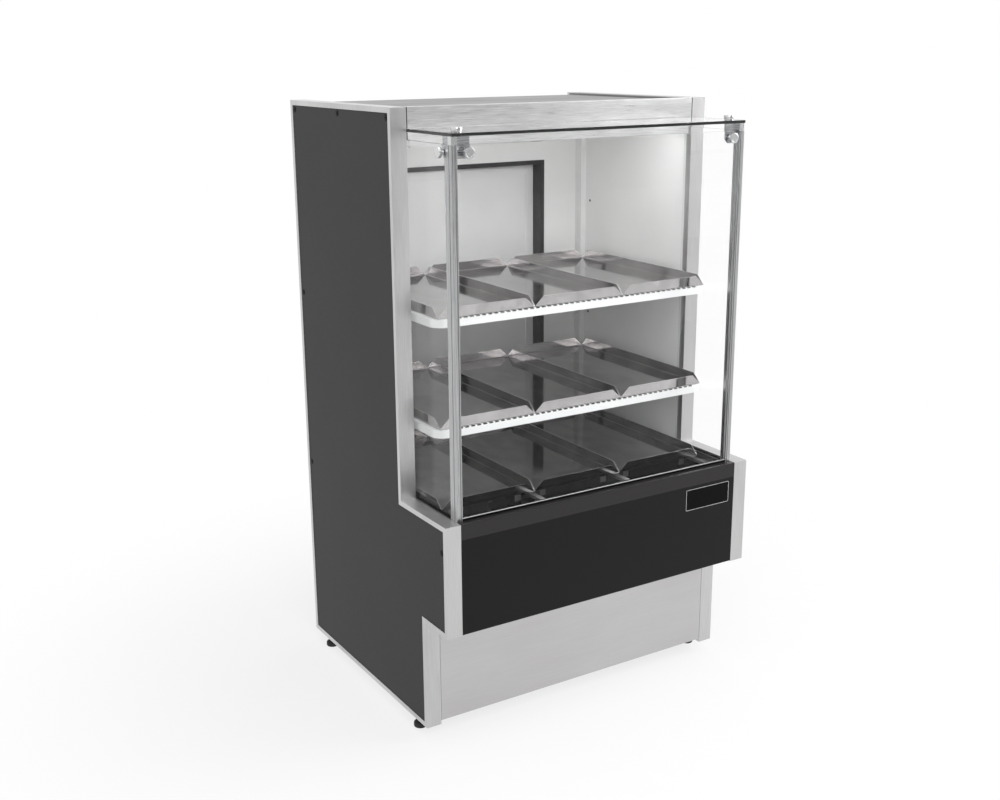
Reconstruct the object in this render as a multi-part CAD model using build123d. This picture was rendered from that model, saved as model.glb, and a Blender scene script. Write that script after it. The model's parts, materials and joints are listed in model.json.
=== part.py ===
# Refrigerated display counter with a stepped profile, a glass front box and rear sliding doors.
# Millimetres. +X right, front faces -Y, +Z up. Origin on the floor under the middle of the counter.
from build123d import *
import math
import os

# Overall size
WIDTH = 800.0
HEIGHT = 1336.0
DEPTH = 684.0               # back edge to apron face
COLUMN_DEPTH = 493.0        # back edge to column face
PLINTH_DEPTH = 586.0        # back edge to kick panel
LEDGE_Z = 524.0             # top of the side frames' step
APRON_SETBACK = 0.6         # apron face behind the side frames' front edges
APRON_Z = 280.0             # underside of the front apron
PLINTH_Z = 30.0             # underside of the side frames
FRAME_W = 36.0              # width of a side frame's front face

HALF_W = WIDTH / 2
INNER_X = HALF_W - FRAME_W
BACK_Y = DEPTH / 2
FRONT_Y = -DEPTH / 2
COLUMN_Y = BACK_Y - COLUMN_DEPTH
PLINTH_Y = BACK_Y - PLINTH_DEPTH

# Side frames, their outer panels and insulated walls
SHEET = 1.5                 # folded steel
RIM = 11.0                  # rim seen round the dark side panel
SEAT = 30.0                 # inner edge of the joggled seat that the panel is screwed to
INNER_LIP = 16.0            # steel return seen inside the column
PANEL_T = 1.2
HEAD_T = 1.4                # screw head thickness, which is also the panel's recess
HEAD_R = 4.6
SHANK_R = 2.4
SHANK_L = 2.7               # through the panel and the frame's seat
SCREW_EDGE = 20.0           # screws' distance from the frame's outer edge
FLATS = 8                   # flats that stand for the round form of small hidden bars and holes
PANEL_X = HALF_W - HEAD_T - PANEL_T
SEAT_X = PANEL_X - SHEET
UPRIGHT_W = 15.0            # joggle in the inner rear corners
UPRIGHT_D = 25.0

# Back wall and sliding doors
WALL_IN_Y = 282.0
WALL_OUT_Y = 330.0
WALL_TOP_Z = 1328.0
DECK_Z = 500.0              # rim of the well, where the back wall and the deck bars stand
DOOR_FRAME_X = 251.0
DOOR_FRAME_Z0 = 540.0
DOOR_FRAME_Z1 = 1174.5
DOOR_FRAME_FACE = 11.0
DOOR_FRAME_LIP = 12.0       # flange over the outside of the wall
DOOR_T = 14.0
DOOR_OVERLAP = 30.0
TRACK_CLEAR = 0.5
TRACK_DEPTH = 8.0
INNER_TRACK_Y = 296.0
OUTER_TRACK_Y = 314.0

# Roof, fascia and lamp
ROOF_RECESS = 6.0
FASCIA_BOTTOM_Z = 1257.0
FASCIA_RETURN = 20.0
CEILING_Z = 1277.0

# Glass box
GLASS_T = 6.0
GLASS_GAP = 0.25            # between a pane and the slot that holds it
TOP_GLASS_Z = 1288.0
TOP_GLASS_FRONT_Y = -329.0
PANE_TOP_Z = 1272.0
POST_W = 14.0               # width of a post's front face
POST_FRONT_Y = -325.5
POST_Y = -301.0             # rear edge of the posts
POST_LIP = 2.5              # metal behind the front slot
PANE_IN_POST = 4.0
FRONT_PANE_Y = -322.75      # outer face of the front pane
SIDE_PANE_X = 362.0         # outer face of a side pane
PANE_OVERLAP = 16.0         # side pane behind the column face
CHANNEL_WALL = 1.5
CHANNEL_H = 5.0

# Corner clamps
CLAMP_T = 5.0
CLAMP_W = 32.0              # reach of the plate inside the front pane
CLAMP_D = 21.0              # reach of the plate inside the side pane
CLAMP_Z = 1246.0
KNOB_R = 11.0
KNOB_T = 7.0
KNOB_STANDOFF = 5.5
STEM_R = 4.0
HOLE_CLEAR = 0.6            # radial clearance of the holes in glass and clamps
KNOB_Z = 1257.5
KNOB_X = 328.0
KNOB_Y = -289.5
STUD_X = 338.0
STUD_Y = -303.0
STUD_T = 10.0

# Shelves and trays
SHELF_X = 352.0
SHELF_FRONT_Y = -235.0
SHELF_REAR_Y = 252.0
SHELF_H = 18.0
SHELF_SHEET = 1.5
SHELF_CORNER_R = 28.0
SHELF_TOPS = {"upper": 923.0, "lower": 691.0}
TRAY_PITCH = 230.0
TRAY_W = 229.4
TRAY_FRONT_Y = -232.0
TRAY_REAR_Y = 241.0
TRAY_H = 22.5
TRAY_SHEET = 1.0
TRAY_BEND = 0.64            # bevel that stands for the outside of a bend
TRAY_COUNT = 3
BASE_TRAY_Z = 514.5
SEATING_GAP = 0.1           # between a tray and what it stands on

# Well, apron and base
TUB_Z = 290.0
TUB_FLOOR_Z = 330.0
TUB_FRONT_Y = -320.0
TUB_WALL = 12.0
WELL_FRONT_Y = -288.0
WELL_REAR_Y = 270.0
TUB_SIDE_Z = 522.0
DRAIN_Y = -40.0
BAR_W = 12.0
BAR_H = 8.0
KICK_Z = 39.0
FLOOR_Z = 32.0
FOOT_X = 381.0
FOOT_YS = {"front": -178.0, "rear": 287.0}
FOOT_R = 15.0
FOOT_H = 12.0
FOOT_STEM_R = 5.0
FOOT_STEM_TOP = 62.0
STEM_CLEAR = 0.08           # radial clearance of screwed stems and fan shafts

# Refrigeration
COMPRESSOR_XY = (-200.0, 200.0)
COMPRESSOR_R = 75.0
STUB_OFFSET = 40.0          # suction and discharge stubs before and behind the middle
SUCTION_STUB_Z = 190.0
DISCHARGE_STUB_Z = 100.0
SUCTION_RISER_X = -310.0
LIQUID_RISER_X = -275.0
CONDENSER_X = (60.0, 300.0)
CONDENSER_Y = (250.0, 300.0)
CONDENSER_TOP_Z = 235.0
FIN_PITCH = 30.0
FIN_GAP = 25.0
COIL_EDGE = 28.0            # a coil's first tube row above its lower edge
COIL_PITCH = 48.0
BEND_REACH = 22.0
EVAPORATOR_X = 230.0
EVAPORATOR_Y = (130.0, 190.0)
EVAPORATOR_Z = (345.0, 465.0)
CONDENSER_FAN = (180.0, 229.0, 140.0)
EVAPORATOR_FAN = (0.0, 46.0, 405.0)
FAN_R = 66.0
FAN_GAP = 5.0
BLADES = 5
BLADE_T = 2.0
BLADE_PITCH = 26.0
SHAFT_R = 4.0
MOTOR_R = 26.0
LIQUID_R = 4.0
SUCTION_R = 5.5

# Rear service panel and controls
SERVICE_Y = 336.0
SERVICE_RETURN = 5.0        # edges turned in towards the machine
SERVICE_T = 1.2
SERVICE_X = 363.0
SERVICE_TOP_Z = 498.0
LOUVRE_PITCH = 20.0
LOUVRES = 8
LOUVRE_Z = 66.0
THERMOSTAT_XZ = (-265.0, 266.0)
THERMOSTAT_CUTOUT = (71.2, 29.2)
SWITCH_XZ = (-190.0, 266.0)
SWITCH_CUTOUT = (19.2, 28.2)
ROCKER_TILT = 7.0
PIN_R = 1.2
PIN_DEPTH = 4.0             # rocker's pin behind the panel's outer face
GLAND_XZ = (-320.0, 70.0)
GLAND_R = 8.0
GLAND_BORE_R = 4.0

OVER = 1.0                  # how far a cutting solid runs past the face that it cuts


def box(x0, x1, y0, y1, z0, z1):
    """Box between six planes."""
    centre = Pos((x0 + x1) / 2, (y0 + y1) / 2, (z0 + z1) / 2)
    return centre * Box(x1 - x0, y1 - y0, z1 - z0)


def yz_prism(points, x0, x1):
    """Solid of one Y-Z section from x0 to x1."""
    face = make_face(Polyline(*points, close=True))
    return Pos(x0, 0, 0) * extrude(Plane.YZ * face, x1 - x0)


def xy_prism(points, z0, z1):
    """Solid of one plan outline from z0 to z1."""
    face = make_face(Polyline(*points, close=True))
    return Pos(0, 0, z0) * extrude(face, z1 - z0)


def rod(start, direction, length, radius, sides=0):
    """Bar from start along direction: round, or with flats where sides is given."""
    section = RegularPolygon(radius, sides) if sides else Circle(radius)
    return extrude(Plane(origin=start, z_dir=direction) * section, length)


def x_rod(x0, x1, y, z, radius, sides=0):
    """Bar along X."""
    return rod((x0, y, z), (1, 0, 0), x1 - x0, radius, sides)


def y_rod(x, y0, y1, z, radius, sides=0):
    """Bar along Y."""
    return rod((x, y0, z), (0, 1, 0), y1 - y0, radius, sides)


def z_rod(x, y, z0, z1, radius, sides=0):
    """Bar along Z."""
    return rod((x, y, z0), (0, 0, 1), z1 - z0, radius, sides)


def folded_sheet(points, thickness, x0, x1):
    """Sheet bent along a Y-Z centre line of square bends, from x0 to x1."""
    section = Sketch()
    half = thickness / 2
    for (y0, z0), (y1, z1) in zip(points, points[1:]):
        strip_y = abs(y1 - y0) + thickness
        strip_z = abs(z1 - z0) + thickness
        section += Pos((y0 + y1) / 2, (z0 + z1) / 2) * Rectangle(strip_y, strip_z)
    # the first and the last strip end square on their end points
    for (y_end, z_end), (y_next, z_next) in ((points[0], points[1]), (points[-1], points[-2])):
        step_y = math.copysign(half, y_end - y_next) if y_end != y_next else 0.0
        step_z = math.copysign(half, z_end - z_next) if z_end != z_next else 0.0
        size_y = half if step_y else thickness
        size_z = half if step_z else thickness
        section -= Pos(y_end + step_y / 2, z_end + step_z / 2) * Rectangle(size_y, size_z)
    return Pos(x0, 0, 0) * extrude(Plane.YZ * section, x1 - x0)


def mirrored(shape):
    """The same piece for the left side."""
    return mirror(shape, about=Plane.YZ)


def side_outline(inset):
    """Stepped side profile in Y-Z, moved inwards by inset."""
    back = BACK_Y - inset
    top = HEIGHT - inset
    return [
        (back, PLINTH_Z + inset),
        (PLINTH_Y + inset, PLINTH_Z + inset),
        (PLINTH_Y + inset, APRON_Z + inset),
        (FRONT_Y + inset, APRON_Z + inset),
        (FRONT_Y + inset, LEDGE_Z - inset),
        (COLUMN_Y + inset, LEDGE_Z - inset),
        (COLUMN_Y + inset, top),
        (back, top),
    ]


def side_ring(outer, inner, x0, x1):
    """Band that follows the side profile between two insets."""
    return yz_prism(side_outline(outer), x0, x1) - yz_prism(side_outline(inner), x0 - OVER, x1 + OVER)


def side_screw_points():
    """Where the side panel's screws stand, in Y-Z."""
    top = HEIGHT - SCREW_EDGE
    back = BACK_Y - SCREW_EDGE
    front = COLUMN_Y + SCREW_EDGE
    middle = (back + front) / 2
    spacing = 418.0
    return [
        (back, top),
        (middle, top),
        (front, top),
        (back, top - spacing),
        (back, top - 2 * spacing),
        (FRONT_Y + SCREW_EDGE, LEDGE_Z - 3 * SCREW_EDGE),
    ]


def screw_holes(radius):
    """Drill for the right panel's screws."""
    holes = Part()
    for y, z in side_screw_points():
        holes += x_rod(HALF_W - HEAD_T - SHANK_L - OVER, HALF_W + OVER, y, z, radius, FLATS)
    return holes


def side_frame():
    """Right side frame: one folded band with a rim, a joggled seat and an inner lip."""
    frame = side_ring(0, SHEET, INNER_X, HALF_W)
    frame += side_ring(0, RIM, HALF_W - SHEET, HALF_W)
    frame += side_ring(RIM - SHEET, RIM, SEAT_X, HALF_W)
    frame += side_ring(RIM - SHEET, SEAT, SEAT_X, PANEL_X)
    frame += side_ring(0, INNER_LIP, INNER_X, INNER_X + SHEET)
    for y in FOOT_YS.values():
        nut = extrude(RegularPolygon(9.0, 6), 12.0)
        frame += Pos(FOOT_X, y, PLINTH_Z + SHEET) * nut
        frame -= z_rod(FOOT_X, y, PLINTH_Z - OVER, PLINTH_Z + 20.0, FOOT_STEM_R + HOLE_CLEAR, 2 * FLATS)
    return frame - screw_holes(SHANK_R + 0.1)


def side_panel():
    """Right outer panel, set in the frame's rim."""
    panel = yz_prism(side_outline(RIM + 0.3), PANEL_X, PANEL_X + PANEL_T)
    return panel - screw_holes(SHANK_R + 0.1)


def side_panel_screws():
    """Low round-head screws of both side panels."""
    screws = []
    face = PANEL_X + PANEL_T
    for y, z in side_screw_points():
        head = x_rod(face, HALF_W, y, z, HEAD_R, FLATS)
        screw = head + x_rod(face - SHANK_L, face, y, z, SHANK_R, FLATS)
        screws.append(screw)
        screws.append(mirrored(screw))
    return Compound(children=screws)


def side_wall():
    """Right insulated wall: foam behind a white liner, with a joggled upright in the rear corner."""
    wall = yz_prism(side_outline(SHEET), INNER_X + SHEET, SEAT_X)
    wall -= side_ring(RIM - SHEET, SEAT, SEAT_X, SEAT_X + OVER)
    wall += yz_prism(side_outline(SEAT), SEAT_X, PANEL_X)
    wall += yz_prism(side_outline(INNER_LIP), INNER_X, INNER_X + SHEET)
    above_machine = APRON_Z + SHEET
    wall -= box(0, WIDTH, FRONT_Y, BACK_Y, 0, above_machine)
    wall += box(INNER_X - UPRIGHT_W, INNER_X, WALL_IN_Y - UPRIGHT_D, WALL_IN_Y, TUB_SIDE_Z, CEILING_Z)
    return wall


def roof_panel():
    """Roof pan: turned up at the sides and front, turned down over the back wall."""
    half = INNER_X - 0.5
    top = HEIGHT - ROOF_RECESS
    sheet = 1.2
    front = COLUMN_Y + SHEET + 0.3
    rear = WALL_OUT_Y + 0.2 + sheet
    lip = top + 4.2
    roof = box(-half, half, front, rear, WALL_TOP_Z, top)
    roof += box(-half, -half + sheet, front, rear, top, lip)
    roof += box(half - sheet, half, front, rear, top, lip)
    roof += box(-half, half, front, front + sheet, top, lip)
    roof += box(-half, half, rear - sheet, rear, WALL_TOP_Z - 40.0, top)
    return roof


def ceiling():
    """Insulated ceiling slab with a rebate for the lamp."""
    front = COLUMN_Y + 9.7
    slab = box(-INNER_X, INNER_X, front, WALL_IN_Y, CEILING_Z, WALL_TOP_Z)
    return slab - box(-300.0, 300.0, front + 60.0, WALL_IN_Y - 60.0, CEILING_Z - OVER, CEILING_Z + 2.0)


def top_fascia():
    """Brushed fascia, folded with a slot that takes the rear edge of the top glass."""
    half = SHEET / 2
    face = COLUMN_Y + half
    slot = face + 8.0
    back = COLUMN_Y + FASCIA_RETURN
    points = [
        (back, HEIGHT - half),
        (face, HEIGHT - half),
        (face, TOP_GLASS_Z + GLASS_T + 0.5 + half),
        (slot, TOP_GLASS_Z + GLASS_T + 0.5 + half),
        (slot, TOP_GLASS_Z - 0.5 - half),
        (face, TOP_GLASS_Z - 0.5 - half),
        (face, FASCIA_BOTTOM_Z + half),
        (back, FASCIA_BOTTOM_Z + half),
    ]
    fascia = folded_sheet(points, SHEET, -INNER_X + 0.7, INNER_X - 0.7)
    notch_x = SIDE_PANE_X - GLASS_T - 1.0
    for side in (-1, 1):
        near = side * notch_x
        far = side * (INNER_X + OVER)
        fascia -= box(
            min(near, far), max(near, far), COLUMN_Y - OVER, back + OVER,
            FASCIA_BOTTOM_Z - OVER, PANE_TOP_Z + OVER,
        )
    return fascia


def led_lamp():
    """Lamp bar under the front of the ceiling, with a rounded diffuser."""
    half_x = 335.0
    y_centre = COLUMN_Y + 24.0
    base = box(-half_x, half_x, y_centre - 12.0, y_centre + 12.0, CEILING_Z - 5.0, CEILING_Z)
    lens = x_rod(-half_x + 6.0, half_x - 6.0, y_centre, CEILING_Z - 5.0, 9.5)
    lens &= box(-half_x, half_x, y_centre - 12.0, y_centre + 12.0, CEILING_Z - 20.0, CEILING_Z - 5.0)
    return base + lens


def back_wall():
    """Insulated back wall with the door opening."""
    wall = box(-INNER_X, INNER_X, WALL_IN_Y, WALL_OUT_Y, DECK_Z, WALL_TOP_Z)
    return wall - box(
        -DOOR_FRAME_X, DOOR_FRAME_X, WALL_IN_Y - OVER, WALL_OUT_Y + OVER, DOOR_FRAME_Z0, DOOR_FRAME_Z1
    )


def door_opening():
    """Clear opening inside the door frame as (half width, bottom, top)."""
    half = DOOR_FRAME_X - DOOR_FRAME_FACE
    return half, DOOR_FRAME_Z0 + DOOR_FRAME_FACE, DOOR_FRAME_Z1 - DOOR_FRAME_FACE


def rear_door_frame():
    """Black frame of four profiles; its two rails have grooves for the sliding doors."""
    half, z0, z1 = door_opening()
    front = WALL_IN_Y - 2.0
    rear = WALL_OUT_Y + 2.0
    lip_x = DOOR_FRAME_X + DOOR_FRAME_LIP
    lip_z0 = DOOR_FRAME_Z0 - DOOR_FRAME_LIP
    lip_z1 = DOOR_FRAME_Z1 + DOOR_FRAME_LIP
    jamb = box(half, DOOR_FRAME_X, front, rear, DOOR_FRAME_Z0, DOOR_FRAME_Z1)
    jamb += box(half, lip_x, WALL_OUT_Y, rear, lip_z0, lip_z1)
    bottom = box(-half, half, front, rear, DOOR_FRAME_Z0, z0)
    bottom += box(-half, half, WALL_OUT_Y, rear, lip_z0, z0)
    top = box(-half, half, front, rear, z1, DOOR_FRAME_Z1)
    top += box(-half, half, WALL_OUT_Y, rear, z1, lip_z1)
    for track in (INNER_TRACK_Y, OUTER_TRACK_Y):
        groove = (-half - OVER, half + OVER, track, track + DOOR_T + 2 * TRACK_CLEAR)
        bottom -= box(*groove, z0 - TRACK_DEPTH, z0 + OVER)
        top -= box(*groove, z1 - OVER, z1 + TRACK_DEPTH)
    return Compound(children=[jamb, mirrored(jamb), bottom, top])


def sliding_door(x0, x1, track, pull_x):
    """Door panel with a raised border and a rounded finger cup in its outer face."""
    z0 = door_opening()[1] - TRACK_DEPTH + 0.3
    z1 = door_opening()[2] + TRACK_DEPTH - 4.0
    y0 = track + TRACK_CLEAR
    y1 = y0 + DOOR_T
    border = 22.0
    relief = 1.5
    door = box(x0, x1, y0, y1, z0, z1)
    inside = (x0 + border, x1 - border)
    heights = (z0 + border + TRACK_DEPTH, z1 - border - TRACK_DEPTH)
    door -= box(*inside, y0 - OVER, y0 + relief, *heights)
    door -= box(*inside, y1 - relief, y1 + OVER, *heights)
    plate = extrude(Plane.XZ * SlotOverall(150.0, 34.0, rotation=90), -3.0)
    cup = extrude(Plane.XZ * SlotOverall(120.0, 22.0, rotation=90), -9.0 - OVER)
    middle = (z0 + z1) / 2
    door += Pos(pull_x, y1 - 3.0, middle) * plate
    return door - Pos(pull_x, y1 - 9.0, middle) * cup


def shelf(top):
    """White shelf pan with a turned-down rim and rounded corners."""
    depth = SHELF_REAR_Y - SHELF_FRONT_Y
    middle = (SHELF_REAR_Y + SHELF_FRONT_Y) / 2
    plan = Pos(0, middle) * Rectangle(2 * SHELF_X, depth)
    plan = fillet(plan.vertices().sort_by(Axis.Y)[:2], SHELF_CORNER_R)
    plan = fillet(plan.vertices().sort_by(Axis.Y)[-2:], 8.0)
    inner = offset(plan, -SHELF_SHEET)
    body = Pos(0, 0, top - SHELF_H) * extrude(plan, SHELF_H)
    return body - Pos(0, 0, top - SHELF_H - OVER) * extrude(inner, SHELF_H + OVER - SHELF_SHEET)


def shelf_bracket(top):
    """Right bracket under one shelf: a wall leg with tapered ends and a leg under the shelf's rim."""
    under = top - SHELF_H
    front = -128.0
    rear = 210.0
    leg = [
        (front, under),
        (front, under - 12.0),
        (front + 40.0, under - 36.0),
        (rear - 40.0, under - 36.0),
        (rear, under - 12.0),
        (rear, under),
    ]
    bracket = yz_prism(leg, INNER_X - SHEET, INNER_X)
    bracket += box(INNER_X - 26.0, INNER_X, front, rear, under - SHEET, under)
    return bracket


def shelf_brackets():
    """Both brackets of both shelves."""
    brackets = []
    for top in SHELF_TOPS.values():
        bracket = shelf_bracket(top)
        brackets.append(bracket)
        brackets.append(mirrored(bracket))
    return Compound(children=brackets)


def tray(x, z):
    """Folded steel tray: a flat base and four upstands whose ends are cut back at 45 degrees."""
    x0 = x - TRAY_W / 2
    x1 = x + TRAY_W / 2
    y0 = TRAY_FRONT_Y
    y1 = TRAY_REAR_Y
    body = box(x0, x1, y0, y1, z, z + TRAY_SHEET)
    front = [(x0, z), (x1, z), (x1 - TRAY_H, z + TRAY_H), (x0 + TRAY_H, z + TRAY_H)]
    front_face = make_face(Polyline(*front, close=True))
    front_plate = extrude(Plane.XZ * front_face, -TRAY_SHEET)
    body += Pos(0, y0, 0) * front_plate
    body += Pos(0, y1 - TRAY_SHEET, 0) * front_plate
    side = [(y0, z), (y1, z), (y1 - TRAY_H, z + TRAY_H), (y0 + TRAY_H, z + TRAY_H)]
    body += yz_prism(side, x0, x0 + TRAY_SHEET)
    body += yz_prism(side, x1 - TRAY_SHEET, x1)
    bottom = body.faces().sort_by(Axis.Z)[0]
    return chamfer(bottom.edges(), TRAY_BEND)


def base_deck():
    """Bars over the well that carry the base trays."""
    rail_z = DECK_Z + BAR_H
    rail_end = TRAY_PITCH * TRAY_COUNT / 2 + BAR_W / 2
    deck = Part()
    for i in range(TRAY_COUNT + 1):
        x = (i - TRAY_COUNT / 2) * TRAY_PITCH
        deck += box(x - BAR_W / 2, x + BAR_W / 2, -300.0, WALL_IN_Y - 0.5, DECK_Z, rail_z)
    for y in (TRAY_FRONT_Y + 26.0, TRAY_REAR_Y - 26.0):
        deck += box(-rail_end, rail_end, y - 9.0, y + 9.0, rail_z, BASE_TRAY_Z - SEATING_GAP)
        for i in range(TRAY_COUNT):
            x = (i - (TRAY_COUNT - 1) / 2) * TRAY_PITCH
            deck += box(x - 90.0, x - 75.0, y - 9.0, y - 7.0, rail_z - 14.0, rail_z)
            deck += box(x + 75.0, x + 90.0, y - 9.0, y - 7.0, rail_z - 14.0, rail_z)
    return deck


def well_tub():
    """Insulated tub under the deck, with a drain and two pipe holes in its floor."""
    tub = box(-INNER_X, INNER_X, TUB_FRONT_Y, WALL_OUT_Y, TUB_Z, DECK_Z)
    for side in (-1, 1):
        outer = side * INNER_X
        inner = side * (INNER_X - TUB_WALL)
        tub += box(min(outer, inner), max(outer, inner), TUB_FRONT_Y, WALL_IN_Y, DECK_Z, TUB_SIDE_Z)
    inner_x = INNER_X - TUB_WALL
    cavity = box(-inner_x, inner_x, WELL_FRONT_Y, WELL_REAR_Y, TUB_FLOOR_Z, DECK_Z + OVER)
    cavity = chamfer(cavity.faces().sort_by(Axis.Z)[0].edges(), 10.0)
    tub -= cavity
    drain_z = TUB_Z - 22.0
    tub += z_rod(0, DRAIN_Y, drain_z, TUB_Z, 12.0, FLATS)
    tub -= z_rod(0, DRAIN_Y, drain_z - OVER, TUB_FLOOR_Z + OVER, 9.0, FLATS)
    pipe_y = COMPRESSOR_XY[1] - STUB_OFFSET
    for x, radius in ((LIQUID_RISER_X, LIQUID_R), (SUCTION_RISER_X, SUCTION_R)):
        tub -= z_rod(x, pipe_y, TUB_Z - OVER, TUB_FLOOR_Z + OVER, radius + 2.0, FLATS)
    return tub


def front_apron():
    """Black front apron with a bottom return and a top flange under the front glass."""
    half = SHEET / 2
    face = FRONT_Y + APRON_SETBACK + half
    points = [
        (FRONT_Y + 20.0, APRON_Z + SHEET + half),
        (face, APRON_Z + SHEET + half),
        (face, LEDGE_Z - half),
        (POST_Y - 0.2, LEDGE_Z - half),
    ]
    return folded_sheet(points, SHEET, -INNER_X + 0.5, INNER_X - 0.5)


def glazing_channel():
    """U channels that hold the lower edges of the front and side panes."""
    slot = GLASS_T + 2 * GLASS_GAP
    pane_rear = FRONT_PANE_Y + GLASS_T
    post_in_x = INNER_X - POST_W
    front = box(
        -post_in_x, post_in_x, FRONT_PANE_Y - GLASS_GAP - CHANNEL_WALL, pane_rear + GLASS_GAP + CHANNEL_WALL,
        LEDGE_Z, LEDGE_Z + CHANNEL_H,
    )
    front -= box(
        -post_in_x - OVER, post_in_x + OVER, FRONT_PANE_Y - GLASS_GAP, pane_rear + GLASS_GAP,
        LEDGE_Z + CHANNEL_WALL, LEDGE_Z + CHANNEL_H + OVER,
    )
    outer_x = SIDE_PANE_X + GLASS_GAP
    side = box(
        outer_x - slot - CHANNEL_WALL, INNER_X, POST_Y, COLUMN_Y, TUB_SIDE_Z, TUB_SIDE_Z + CHANNEL_H
    )
    side -= box(
        outer_x - slot, outer_x, POST_Y - OVER, COLUMN_Y + OVER,
        LEDGE_Z, TUB_SIDE_Z + CHANNEL_H + OVER,
    )
    return Compound(children=[front, side, mirrored(side)])


def front_glass():
    """Front pane with holes for the clamp knobs."""
    edge = INNER_X - POST_W + PANE_IN_POST
    bottom = LEDGE_Z + CHANNEL_WALL + 0.1
    pane = box(-edge, edge, FRONT_PANE_Y, FRONT_PANE_Y + GLASS_T, bottom, PANE_TOP_Z)
    through = (FRONT_PANE_Y - OVER, FRONT_PANE_Y + GLASS_T + OVER)
    for x in (-KNOB_X, KNOB_X):
        pane -= y_rod(x, *through, KNOB_Z, STEM_R + HOLE_CLEAR, FLATS)
    return pane


def side_glass():
    """Right pane, from the corner post to behind the column face."""
    rear = COLUMN_Y + PANE_OVERLAP
    bottom = LEDGE_Z + 0.1
    inner_x = SIDE_PANE_X - GLASS_T
    pane = box(inner_x, SIDE_PANE_X, POST_Y - PANE_IN_POST, rear, bottom, PANE_TOP_Z)
    return pane - x_rod(inner_x - OVER, SIDE_PANE_X + OVER, KNOB_Y, KNOB_Z, STEM_R + HOLE_CLEAR, FLATS)


def top_glass():
    """Top pane, from the fascia's slot to just past the corner posts."""
    half = INNER_X - 0.5
    rear = COLUMN_Y + 7.4
    pane = box(-half, half, TOP_GLASS_FRONT_Y, rear, TOP_GLASS_Z, TOP_GLASS_Z + GLASS_T)
    corners = pane.edges().filter_by(Axis.Z).group_by(Axis.Y)[0]
    pane = fillet(corners, 3.0)
    for x in (-STUD_X, STUD_X):
        pane -= z_rod(x, STUD_Y, TOP_GLASS_Z - OVER, TOP_GLASS_Z + GLASS_T + OVER, STEM_R + HOLE_CLEAR, FLATS)
    return pane


def corner_post():
    """Right post: extrusion with flat outer faces, a slanted back, a slot for each pane and a groove."""
    x0 = INNER_X - POST_W
    slot = GLASS_T + 2 * GLASS_GAP
    front_y = FRONT_PANE_Y + GLASS_T / 2
    side_x = SIDE_PANE_X - GLASS_T / 2
    outline = Polyline(
        (INNER_X, POST_Y),
        (INNER_X, POST_FRONT_Y),
        (x0, POST_FRONT_Y),
        (x0, front_y + slot / 2 + POST_LIP),
        (side_x - slot / 2 - POST_LIP / 2, POST_Y),
        close=True,
    )
    section = make_face(outline)
    outer_corner = section.vertices().sort_by(Axis.Y)[:2].sort_by(Axis.X)[-1]
    section = fillet(outer_corner, 1.5)
    # each slot starts outside the section and ends slot_depth inside it
    slot_depth = PANE_IN_POST + 0.5
    section -= Pos(x0 + (slot_depth - OVER) / 2, front_y) * Rectangle(slot_depth + OVER, slot)
    section -= Pos(side_x, POST_Y - (slot_depth - OVER) / 2) * Rectangle(slot, slot_depth + OVER)
    # a shallow groove down each outer face
    section -= Pos(x0 + 3.5, POST_FRONT_Y) * Rectangle(2.0, 1.6)
    section -= Pos(INNER_X, POST_FRONT_Y + 8.0) * Rectangle(1.6, 2.0)
    return Pos(0, 0, LEDGE_Z) * extrude(section, PANE_TOP_Z - LEDGE_Z)


def corner_clamp():
    """Right clamp: two plates inside the panes, a plate under the top glass and a block on the post."""
    post_x = INNER_X - POST_W
    block_y = POST_FRONT_Y + 0.5
    pane_y = FRONT_PANE_Y + GLASS_T + GLASS_GAP
    pane_x = SIDE_PANE_X - GLASS_T - GLASS_GAP
    cut = 8.0
    front = [
        (post_x - CLAMP_W, TOP_GLASS_Z),
        (post_x - CLAMP_W, CLAMP_Z + cut),
        (post_x - CLAMP_W + cut, CLAMP_Z),
        (post_x, CLAMP_Z),
        (post_x, TOP_GLASS_Z),
    ]
    front_face = make_face(Polyline(*front, close=True))
    clamp = Pos(0, pane_y, 0) * extrude(Plane.XZ * front_face, -CLAMP_T)
    side = [
        (POST_Y, TOP_GLASS_Z),
        (POST_Y, CLAMP_Z),
        (POST_Y + CLAMP_D - cut, CLAMP_Z),
        (POST_Y + CLAMP_D, CLAMP_Z + cut),
        (POST_Y + CLAMP_D, TOP_GLASS_Z),
    ]
    clamp += yz_prism(side, pane_x - CLAMP_T, pane_x)
    plan = [
        (post_x - CLAMP_W, pane_y),
        (post_x, pane_y),
        (post_x, block_y),
        (INNER_X - 1.0, block_y),
        (INNER_X - 1.0, POST_Y),
        (pane_x, POST_Y),
        (pane_x, POST_Y + CLAMP_D),
        (pane_x - CLAMP_T, POST_Y + CLAMP_D),
        (post_x - CLAMP_W, pane_y + CLAMP_T),
    ]
    clamp += xy_prism(plan, TOP_GLASS_Z - CLAMP_T, TOP_GLASS_Z)
    clamp += box(post_x, INNER_X - 1.0, block_y, POST_Y, PANE_TOP_Z, TOP_GLASS_Z)
    clamp -= y_rod(KNOB_X, pane_y - OVER, pane_y + CLAMP_T + OVER, KNOB_Z, STEM_R + HOLE_CLEAR, FLATS)
    clamp -= x_rod(pane_x - CLAMP_T - OVER, pane_x + OVER, KNOB_Y, KNOB_Z, STEM_R + HOLE_CLEAR, FLATS)
    under = TOP_GLASS_Z - CLAMP_T
    return clamp - z_rod(STUD_X, STUD_Y, under - OVER, TOP_GLASS_Z + OVER, STEM_R + HOLE_CLEAR, FLATS)


def clamp_knob(head, stem):
    """Round knob along +Z: its head starts stem below the tip of its threaded end."""
    return z_rod(0, 0, 0, stem, STEM_R, FLATS) + z_rod(0, 0, stem, stem + head, KNOB_R)


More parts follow.
